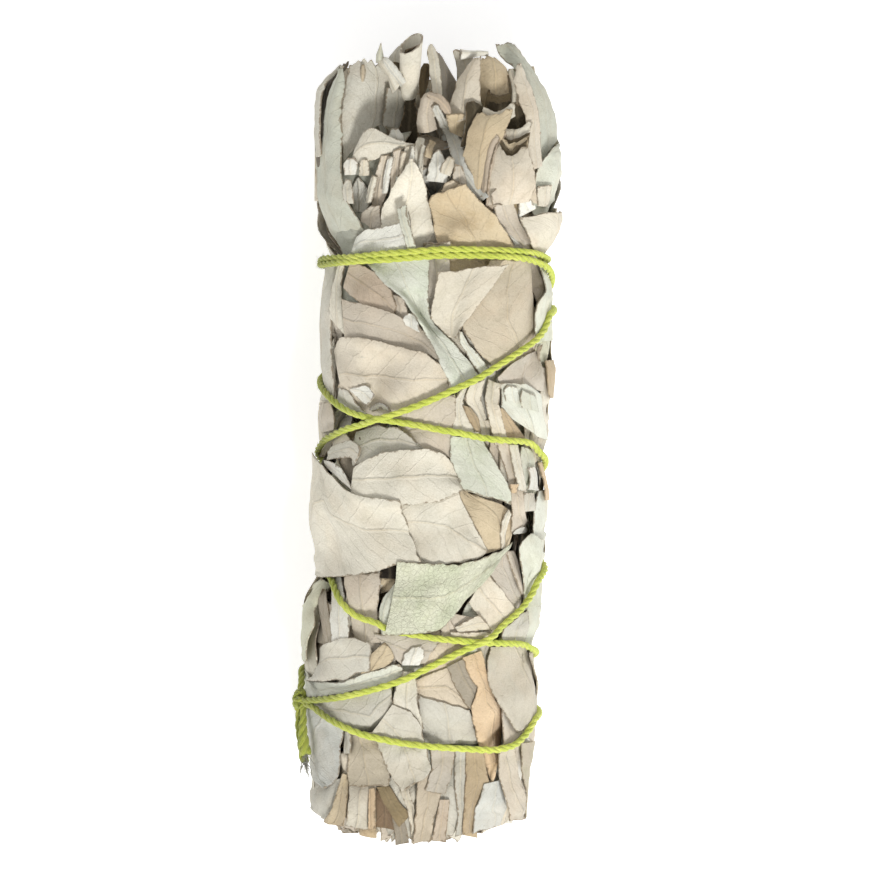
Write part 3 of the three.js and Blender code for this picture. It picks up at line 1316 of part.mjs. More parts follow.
for (let i = 0; i < pieces.length; i += 1) {
  for (let j = i + 1; j < pieces.length; j += 1) {
    if (pieces[i].node === pieces[j].node) continue;
    if (shared(pieces[i].solid, pieces[j].solid) < MEETS) continue;
    pieces[i].solid = largest(pieces[i].solid.subtract(pieces[j].wide()));
  }
  if (shared(pieces[i].solid, twine) > MEETS) {
    pieces[i].solid = largest(pieces[i].solid.subtract(roomForTwine));
  }
  for (const core of cores) {
    if (core.node === pieces[i].node || shared(core.solid, pieces[i].solid) < MEETS) continue;
    core.solid = largest(core.solid.subtract(pieces[i].wide()));
  }
}

// Each leaf that grows from a stem gets the first stalk that joins it and meets no
// piece of another node.
cores.forEach((core) => nodes[core.node].solids.push(core.solid));
const placed = [...cores];
const pegs = [];
for (const piece of pieces) {
  const joined = placed.filter((other) => other.node === piece.node);
  const strangers = [...cores, ...pieces, ...pegs].filter((other) => other.node !== piece.node);
  let good;
  let fewest = Infinity;
  for (const spot of piece.roots) {
    const peg = stalk(spot);
    if (fewest < 2 || shared(peg, piece.solid) < LEAST_HOLD[0] || shared(peg, twine) > 0) continue;
    const meets = joined.map((other) => shared(peg, other.solid)).filter((volume) => volume > MEETS);
    const held = meets.reduce((sum, volume) => sum + volume, 0);
    if (held < LEAST_HOLD[1] || meets.length >= fewest) continue;
    if (strangers.some((other) => shared(peg, other.solid) > MEETS)) continue;
    good = peg;
    fewest = meets.length;
  }
  if (piece.roots.length && !good) continue;
  placed.push(piece);
  nodes[piece.node].solids.push(piece.solid);
  if (!good) continue;
  pegs.push({ node: piece.node, solid: good });
  nodes[piece.node].solids.push(good);
}

const finished = nodes.map((node) => {
  let body = node.solids[0];
  node.solids.slice(1).forEach((solid) => { body = body.add(solid); });
  body = body.trimByPlane([0, 0, 1], 0);
  return { ...node, body: largest(body) };
});
finished.push({ name: 'binding_twine', tone: 5, body: twine });

// ---------------------------------------------------------------- the finished bunch
const TONES = [
  { color: 0xd6d2c2, roughness: 0.95 }, { color: 0xcdc6b8, roughness: 0.95 },
  { color: 0xdcd6c8, roughness: 0.95 }, { color: 0xe2dccf, roughness: 0.95 },
  { color: 0xd8dac9, roughness: 0.95 }, { color: 0xb9cc3a, roughness: 0.85 },
];

const bunch = new THREE.Group();
for (const { name, tone, body } of finished) {
  const material = new THREE.MeshStandardMaterial({ ...TONES[tone], metalness: 0 });
  const mesh = new THREE.Mesh(geometryOf(body), material);
  mesh.name = name;
  bunch.add(mesh);
}

export default bunch;
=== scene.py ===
# White sage bunch: the dressed model, in metres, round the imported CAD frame. Leaves are laid
# one by one from the core outwards on a relief of the stick, then the pile settles to its
# girth, and the twine is twisted along its route.
import math

import bpy
import numpy as np
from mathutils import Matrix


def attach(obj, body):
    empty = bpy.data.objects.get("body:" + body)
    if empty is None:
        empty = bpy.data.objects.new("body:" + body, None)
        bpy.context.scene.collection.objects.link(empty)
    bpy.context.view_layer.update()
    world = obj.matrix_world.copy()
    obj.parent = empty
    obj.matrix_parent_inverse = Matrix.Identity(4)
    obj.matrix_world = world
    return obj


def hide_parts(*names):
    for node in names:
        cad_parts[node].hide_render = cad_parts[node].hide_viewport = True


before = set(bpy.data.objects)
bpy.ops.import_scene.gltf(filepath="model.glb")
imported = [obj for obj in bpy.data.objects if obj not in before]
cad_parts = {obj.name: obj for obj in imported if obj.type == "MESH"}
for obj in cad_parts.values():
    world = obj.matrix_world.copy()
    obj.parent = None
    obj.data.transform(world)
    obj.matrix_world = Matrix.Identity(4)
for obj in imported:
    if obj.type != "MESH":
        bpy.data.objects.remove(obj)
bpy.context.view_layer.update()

MM = 0.001
TURN = 2 * math.pi

# ------------------------------------------------------------------ main sizes, in mm
AXIS_HEIGHT = 14.2              # of the stick's axis over the floor
CENTRE_SHIFT = (0.14, 0.12)     # x and y from the plan to the frame
MEAN_GIRTH = 15.0
BLADE = 0.25                    # thickness of a leaf
CLEAR = 0.04                    # gap between a leaf and what it lies on
HEART_RADIUS = 4.4              # of the middle stem's share
SECTORS = 6                     # stems round the middle one
TWINE_DIAMETER = 0.9
PLIES = 3
PLY_LAY = 3.9                   # length of one twist of the plies
PINCH_FRONT = 0.35              # how deep the twine presses in on top,
PINCH_ASIDE = 0.7               # at the sides
PINCH_BELOW = 1.4               # and underneath
PINCH_WIDTH = 1.7
PRESSED = 0.45                  # share of the pile's unevenness that the tie presses flat
PRESSED_DEPTH = 2.0
# Girth of the leaf skin: y, x of the middle, half width.
GIRTH = np.array([
    (-50.5, -1.0, 13.1), (-46.5, -1.2, 13.4), (-42.7, -0.9, 13.4), (-37.7, -0.6, 13.9),
    (-32.7, -0.9, 14.4), (-25.2, -1.0, 15.1), (-20.2, -0.5, 15.0), (-16.5, 0.6, 14.3),
    (-7.7, 0.4, 15.1), (-0.2, 0.6, 14.4), (4.8, 1.2, 14.9), (17.2, 1.3, 14.9),
    (22.5, 1.3, 14.3), (29.7, 1.4, 15.0), (42.2, 0.8, 14.3), (50.5, 0.8, 12.5)])
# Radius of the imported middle: y, share of the girth.
CORE = np.array([
    (-54, 0.05), (-46, 0.05), (-43.5, 0.62), (-40, 0.74), (22, 0.76), (27, 0.6), (33, 0.4),
    (38, 0.22), (42, 0.05), (54, 0.05)])

# ------------------------------------------------------------------ camera
PHOTO_SIDE = 878
PLAN_GRID = 8.0                 # photo pixels to the mm
PLAN_ORIGIN = (427, 438)
CAMERA_DISTANCE = 1.0           # metres over the stick's middle


def place_camera():
    """The camera, straight above the stick, with the frame of the photo."""
    data = bpy.data.cameras.new("camera")
    camera = bpy.data.objects.new("camera", data)
    bpy.context.scene.collection.objects.link(camera)
    field = PHOTO_SIDE / PLAN_GRID * MM
    data.sensor_width = 36
    data.lens = data.sensor_width * CAMERA_DISTANCE / field
    data.clip_end = 10
    middle = PHOTO_SIDE / 2
    x = (middle - PLAN_ORIGIN[0]) / PLAN_GRID + CENTRE_SHIFT[0]
    y = (PLAN_ORIGIN[1] - middle) / PLAN_GRID + CENTRE_SHIFT[1]
    camera.location = (x * MM, y * MM, AXIS_HEIGHT * MM + CAMERA_DISTANCE)
    bpy.context.scene.camera = camera


place_camera()

# ------------------------------------------------------------------ plan of the leaves
# name; left margin from root to tip; right margin; tone; how it lies. The points are
# x,y in photo pixels.
CROWN = """
fold_strip; 481,190 483,165 488,148 497,134; 490,196 488,175 492,155 500,140; brown_pink; level=.9
fold_far_right; 526,175 526,155 526,136; 541,172 541,155 537,134; tan_pink; level=.9
right_pale_edge; 534,195 535,170 540,158 552,138; 556,195 554,170 553,152 559,126; pale_green;
    level=1
petiole_3; 404,172 403,160 405,150; 409,170 412,158 413,149; beige
petiole_a; 373,211 372,190 378,172 382,160; 382,211 389,192 391,172 391,158; pink
petiole_b; 391,192 391,170 394,155; 399,186 401,168 402,152; pink
petiole_c; 414,165 414,150 418,140; 423,180 424,160 425,142; cream
white_bit; 355,214 350,200 353,188 358,180; 366,214 372,203 368,190 360,180; white
cupped_white; 426,184 428,170 434,157 438,153; 446,186 449,176 445,164 440,153; white
ribbon; 478,206 465,190 455,175 450,155 446,140 438,125 431,110;
    488,200 477,185 465,168 463,150 457,136 447,124 438,108; cool
small_wedge; 450,134 447,124 446,118; 462,140 464,128 466,117; tan
bud_1; 346,178 344,168 349,161; 357,177 359,168 356,161; white
bud_2; 360,178 360,168 363,163; 370,178 370,168 368,163; beige
petiole_d; 383,196 385,176 389,160; 388,196 391,178 395,161; white
petiole_e; 399,178 400,165 402,155; 403,178 405,166 407,156; rosy
petiole_f; 409,178 410,160 412,150; 413,178 415,162 416,151; white
petiole_g; 418,172 419,158 421,148; 422,172 424,158 426,150; grey
petiole_h; 366,205 369,190 373,178; 372,205 376,192 379,180; cream
petiole_i; 425,160 427,150 430,142; 431,162 433,152 436,146; tan
bud_3; 396,200 394,188 397,180; 405,200 406,190 403,180; pale_green
bud_4; 440,176 443,166 449,160; 450,180 454,172 455,163; beige
crumple_1; 455,196 452,180 455,168; 466,198 466,184 462,170; grey_pink
crumple_2; 441,194 446,186 452,183; 452,198 460,194 462,188; tan_pink
crumple_3; 345,205 343,192 347,182; 355,206 354,194 352,183; grey
"""
UPPER = """
upper_v; 537,208 536,198 537,188; 550,208 550,198 548,187; beige
olive_strip; 511,217 512,203 513,192; 517,216 519,203 518,192; olive
upper_r; 492,210 490,198 498,188; 512,204 514,192 513,184; pink
beige_square; 361,230 362,215 372,208; 382,230 381,215 381,208; grey_pink
grey_pink; 512,262 505,238 494,218 493,208; 536,262 528,240 518,222 512,205; grey_pink
tan_pink_small; 513,200 513,190 514,180; 536,206 535,190 532,174; tan_pink
pale_triangle; 384,258 381,228 382,213 392,192 402,177 410,163;
    438,258 436,238 431,218 428,200 424,182 414,163; cream; dark=1.12
tan_leaf; 455,300 440,262 437,245 433,225 429,205 431,198;
    530,300 520,262 508,238 495,218 478,203 465,188; tan; own=1 lift=.3
right_leaf; 536,258 527,238 519,221; 558,258 559,230 556,212; beige
cross_leaf; 358,238 365,232 382,230 400,226 410,214; 352,256 370,256 390,255 405,254 412,250;
    white; own=1
white_triangle; 519,219 518,208 519,197; 535,210 530,203 521,196; white
green_fold; 408,254 403,235 399,222 398,211; 418,254 412,235 408,222 407,208; pale_green
"""
MIDDLE_UPPER = """
gap_a; 424,310 424,246; 450,312 450,244; grey_pink
gap_b; 454,436 452,412 458,394; 478,438 478,414 476,394; beige
gap_c; 486,490 486,462 490,440; 512,490 512,462 508,440; pink
gap_e; 498,480 503,400 512,310; 522,480 526,400 532,310; cream
gap_f; 520,482 526,400 532,312; 541,480 546,400 549,312; rosy
gap_k; 534,432 540,400 545,368; 557,432 557,400 556,368; cream
gap_g; 320,428 322,408 328,394; 352,432 354,412 350,394; grey
gap_h; 318,340 322,318 330,302; 342,344 346,322 350,306; grey_pink
small_pink; 394,318 396,308 392,296; 402,325 409,316 404,300; pink
brown_chip; 313,342 315,332 319,322; 319,342 320,332 320,322; brown; lift=.4
left_low; 318,405 318,370 324,345 331,338; 338,405 333,385 331,365 335,342; cream
left_strip_wide; 320,400 319,350 318,300 321,262; 335,400 330,350 330,318 345,262; grey
left_edge_leaf; 330,318 331,290 338,265; 348,338 343,310 342,285 346,265; cream
brown_fold; 352,262 366,268 380,278 392,294 397,308; 344,290 352,298 364,308 376,311 394,319;
    brown_pink
pink_leaf; 343,300 360,305 380,310 400,318 420,328 437,352;
    346,340 358,343 380,346 400,351 420,355 438,360; pink; dark=.82
bit_tan; 338,388 343,375 346,369; 350,391 360,384 366,381; tan_pink
cream_leaf; 334,350 340,338 355,338 370,340 400,348 425,354 447,370;
    345,400 352,408 370,416 390,416 420,412 440,402 450,390; rosy; own=1
grey_tan_leaf; 496,372 480,356 462,330 470,300 490,262; 532,352 536,330 532,300 530,262; grey_tan
right_vertical; 535,345 534,318 537,303 546,292 540,262; 556,340 557,310 557,285 556,262;
    pale_green
white_chip; 405,326 403,320 409,315; 420,334 419,326 414,316; white
long_green; 360,256 385,286 402,299 420,325 432,346 440,365 452,388;
    430,256 428,300 431,322 446,337 460,352 472,366 482,380; green_white; own=1
flap; 447,337 430,320 437,283 438,275; 455,340 462,328 485,298 508,266; beige;
    own=1 lift=1.2 proud=1.8
pink_right; 498,384 497,378 506,368 520,358; 545,392 546,375 545,350 544,345; grey_pink
crumpled; 500,412 501,395 499,384; 545,440 545,415 542,395 525,384; green_white
shoulder_strip; 450,437 450,418 456,397 462,388; 474,432 466,412 462,400 468,386; cream
tan_strip; 506,440 499,420 498,408; 526,440 514,424 503,409; tan_brown
narrow_strip; 482,440 476,418 464,400 470,385; 492,440 486,418 480,400 484,380; beige
outer_strip; 494,445 488,420 484,400 487,380; 508,445 503,425 498,405 500,385; beige
bit_left; 337,410 338,398 340,388; 370,416 358,405 350,392; grey
bit_white; 350,391 358,398 368,407; 352,389 367,385 376,396; white
white_arc; 370,410 378,402 386,404 391,411; 374,412 380,408 386,410 391,413; white
thin_pale; 482,378 470,362 459,342 458,332; 490,372 480,358 468,345 462,334; green_white
wedge_low; 476,432 468,420 462,406; 480,432 478,418 470,408; tan_brown; dark=.85
crumple_a; 505,402 503,392 506,386; 520,404 518,396 516,388; green_white
crumple_b; 521,408 519,398 521,390; 538,412 536,402 534,396; pale_green; lift=.3
brown_curl; 550,398 547,380 547,362; 556,398 557,380 556,360; tan_brown
"""
MIDDLE = """
gap_l; 521,512 521,498 524,486; 537,512 538,498 536,486; grey_tan
bit_low; 325,447 326,438 330,430; 352,447 350,438 345,431; grey_pink
pink_mid; 392,418 415,408 440,398 456,396; 415,446 430,452 445,455 452,460; pink
grey_white; 352,446 357,432 375,426 400,428 412,438 422,449;
    354,466 366,462 380,455 400,453 420,452 432,452; grey
small_left; 320,432 319,418 321,402; 334,430 335,418 330,404; grey_pink
small_low; 322,452 335,444 352,440 362,448; 326,460 340,458 352,457 356,464; grey
tan_curl; 499,546 498,530 501,518; 507,545 509,530 506,515; cream
tan_window; 486,552 478,532 466,512 459,495 458,488; 508,545 512,528 512,512 500,503 480,497; tan
curl_cup; 523,500 521,480 519,455 520,447; 546,492 540,470 535,452 525,447; pale_green
right_pale; 534,560 534,530 535,505 540,492; 550,545 551,525 551,503 549,488; green_white
curl_low; 522,511 521,503 523,493; 535,510 536,502 534,493; grey
pink_stem_strip; 495,440 503,465 509,485 511,510 511,531;
    512,440 518,465 522,490 524,510 530,531; pink
big_right; 400,478 430,480 458,488 462,503 472,520 480,535 487,550;
    395,560 410,562 430,563 450,562 465,560 478,557 486,551; cream; own=1 dark=.89
cream_big; 355,467 368,459 382,452 405,450 430,449 446,455 458,470;
    352,492 365,500 385,505 410,505 440,500 460,492 466,485; cream; own=1
pale_strip; 508,445 512,465 518,490; 517,445 521,465 526,492; cream
green_fold_leaf; 450,436 450,460 457,475 462,488; 482,440 492,458 502,475 511,492 510,503;
    pale_green; own=1
white_strip; 320,460 332,461 343,468 351,483; 322,464 335,474 345,484 353,490; white
brown_rim; 544,500 543,480 540,463; 551,500 549,480 545,462; orange
white_lip; 511,533 515,529 520,526; 513,533 524,533 533,528; white
white_hook; 527,489 530,478 527,468; 540,490 541,478 535,466; white
orange_spot; 509,484 511,492; 518,484 515,493; orange
curled_rim; 500,548 499,530 503,514 507,509; 504,547 505,530 509,518 511,513; cream; lift=.5
"""
# tie_gap is a near-black sheet of painted shadow for the deep gap under the lower edge of
# big_left.
LOWER = """
gap_d; 422,676 424,648 430,628; 466,678 466,650 462,628; tan_pink
gap_i; 312,640 314,618 320,600; 332,644 334,620 336,600; grey_brown
gap_j; 500,668 502,640 506,620; 530,668 532,640 530,618; grey_pink
right_low; 528,645 530,625 530,605; 541,645 541,625 541,605; pale_green
yellow_bit; 381,592 381,577; 392,588 398,577; tan
white_pink; 333,640 330,620 329,602; 350,636 350,622 342,608; rosy
left_bulge; 301,662 298,650 299,625 304,603 312,588 319,578;
    308,660 307,640 316,622 312,605 318,598 322,585; grey_green
grey_brown_strip; 326,641 322,620 317,600 318,588; 334,640 332,620 328,600 326,588; grey_brown
fold_white; 333,640 331,618 333,600 332,576; 350,636 350,615 346,598 342,576; white
pinkish; 355,640 352,615 348,595 344,574; 381,640 378,615 380,592 381,572; pink
pink_grey; 519,614 508,600 497,585 487,569 498,552; 522,606 521,592 515,575 510,560 505,550;
    grey_pink
light_quad; 468,601 480,616 494,632; 486,569 503,592 520,614; beige
pink_strip_right; 523,600 516,580 508,560 505,550; 524,600 521,580 517,560 513,550; pink
right_green; 523,610 524,585 520,560 518,545 530,532; 541,605 545,580 545,560 544,540; pale_green
low_white; 500,642 502,628 522,612; 530,642 530,625 530,610; grey
low_pink; 441,636 442,615 450,610; 476,636 478,626 486,618; pink
mauve; 374,631 400,632 425,636 440,640; 385,643 396,655 402,662 425,660; grey_pink
under_strip; 303,662 308,680 343,680 365,671 385,665 400,660;
    304,696 325,694 350,690 375,684 395,677 408,672; green_white; own=1
tan_veined; 362,671 368,655 378,645 386,640; 385,664 393,659 396,655 392,647; tan
grey_leaf; 313,652 325,643 342,636 356,635 372,641; 309,680 328,679 345,677 358,671 370,667;
    grey; own=1
pale_strip_low; 383,632 379,612 383,597 392,586 397,580; 388,632 389,618 393,600 397,584;
    pale_green
small_rose; 441,628 442,615; 455,626 450,616; pink
low_beige; 455,625 468,617 480,613; 458,630 475,628 490,628; beige
beige_strip; 450,629 470,630 490,629; 452,636 470,637 490,636; beige
white_curl; 403,662 404,652 412,645; 420,662 425,652 422,643; white
tie_gap; 380.5,576 381,562; 400,577 400,562; brown; dark=.06
"""
TIES = """
tan_grey; 418,692 432,699 445,703 468,706; 415,678 430,670 447,664 462,690; tan_pink
grey_square; 424,740 421,718 418,692; 477,740 473,722 469,706; grey; dark=.93
grey_rough; 447,664 455,685 468,705 478,712; 465,655 475,675 487,692 497,705; grey_brown
orange_stem; 462,655 468,672 478,685 470,705 477,738 483,755 491,781;
    481,648 486,668 491,690 503,712 500,738 498,758 492,781; orange; own=1
side_leaf; 503,760 503,735 501,705; 531,758 533,730 533,700; grey_pink
right_slab; 489,645 487,662 486,676 492,690 500,704 508,717 516,729;
    533,644 537,655 537,675 537,695 535,714 532,725; beige; own=1 dark=.8
tie_wedge; 310,700 330,697 360,691 392,683; 313,704 335,718 360,728 374,729 393,701; grey; own=1
light_vertical; 393,702 397,680 404,668; 424,725 419,705 417,685 415,668; cream
pink_edge; 533,716 532,680 531,652; 538,714 539,680 538,652; pink
"""
CUT_END = """
foot_brown; 376,785 377,805 377,822; 395,800 396,812 395,825; brown; dark=.8
foot_dark; 392,812 395,825 396,840; 403,812 408,825 409,838; grey_brown; dark=.7
foot_grey; 316,782 312,800 310,808 313,814; 343,775 338,795 332,812 324,821; grey
foot_tan; 344,770 337,790 333,806 323,820; 350,772 349,790 347,806 344,823; tan
foot_cream; 350,770 350,795 346,822; 378,780 372,800 370,826; beige
foot_orange; 370,785 369,805 369,826; 376,784 376,805 376,824; orange
foot_olive; 377,783 385,800 395,815 400,822; 391,782 400,797 409,808 409,812; olive
foot_white; 400,785 408,805 411,822 412,838; 409,782 414,802 416,822 417,835; beige; dark=.95
foot_beige; 417,775 417,800 415,820 413,839; 447,760 440,795 434,815 431,836; tan_pink; dark=.84
foot_pink; 440,795 436,815 432,836; 450,795 447,820 446,837; brown_pink; dark=.95
foot_strip; 455,745 454,770 455,790 458,812 455,832; 466,745 465,775 464,800 464,830; grey;
    dark=.84
foot_wide; 466,746 465,775 464,800 462,829; 482,746 489,780 476,800 472,829; tan_brown; dark=.86
foot_light; 484,780 478,798 474,806 473,829; 499,777 503,795 509,812 510,820; cool; dark=.85
foot_rose; 498,744 498,772 505,795 513,819; 514,744 518,772 522,798 523,819; rosy; dark=.85
foot_edge; 520,741 521,765 522,795 521,818; 533,741 533,765 530,790 526,815; grey_tan; dark=.9
grey_slope; 430,744 432,765 425,785; 455,744 453,765 445,790; grey_pink; dark=.86
grey_tan; 352,730 350,750 348,765 350,783; 374,729 383,752 390,770 390,781; grey_tan
thin_strip; 345,750 345,740 346,728; 352,750 352,740 352,728; grey
light_tip; 373,729 383,752 392,774 402,787; 393,701 412,708 421,722 426,742 432,766 427,772;
    cream; own=1
left_fold; 311,706 311,735 311,760 317,780 324,786; 345,728 341,745 341,762 338,776 330,784;
    cool; own=1
"""
OVER_TWINE = """
big_left; 311,500 313,468 318,452 322,463 337,477 350,490 365,496 400,500;
    316,560 318,577 335,576 360,573 380,570 400,562 420,560; cream; own=1 proud=1.5
green_leaf; 400,560 430,562 458,563 480,557 500,550 513,540;
    387,632 410,632 440,628 455,612 480,585 500,560; grey_green; own=1 proud=1.7 net=1.5 dark=1.08
"""
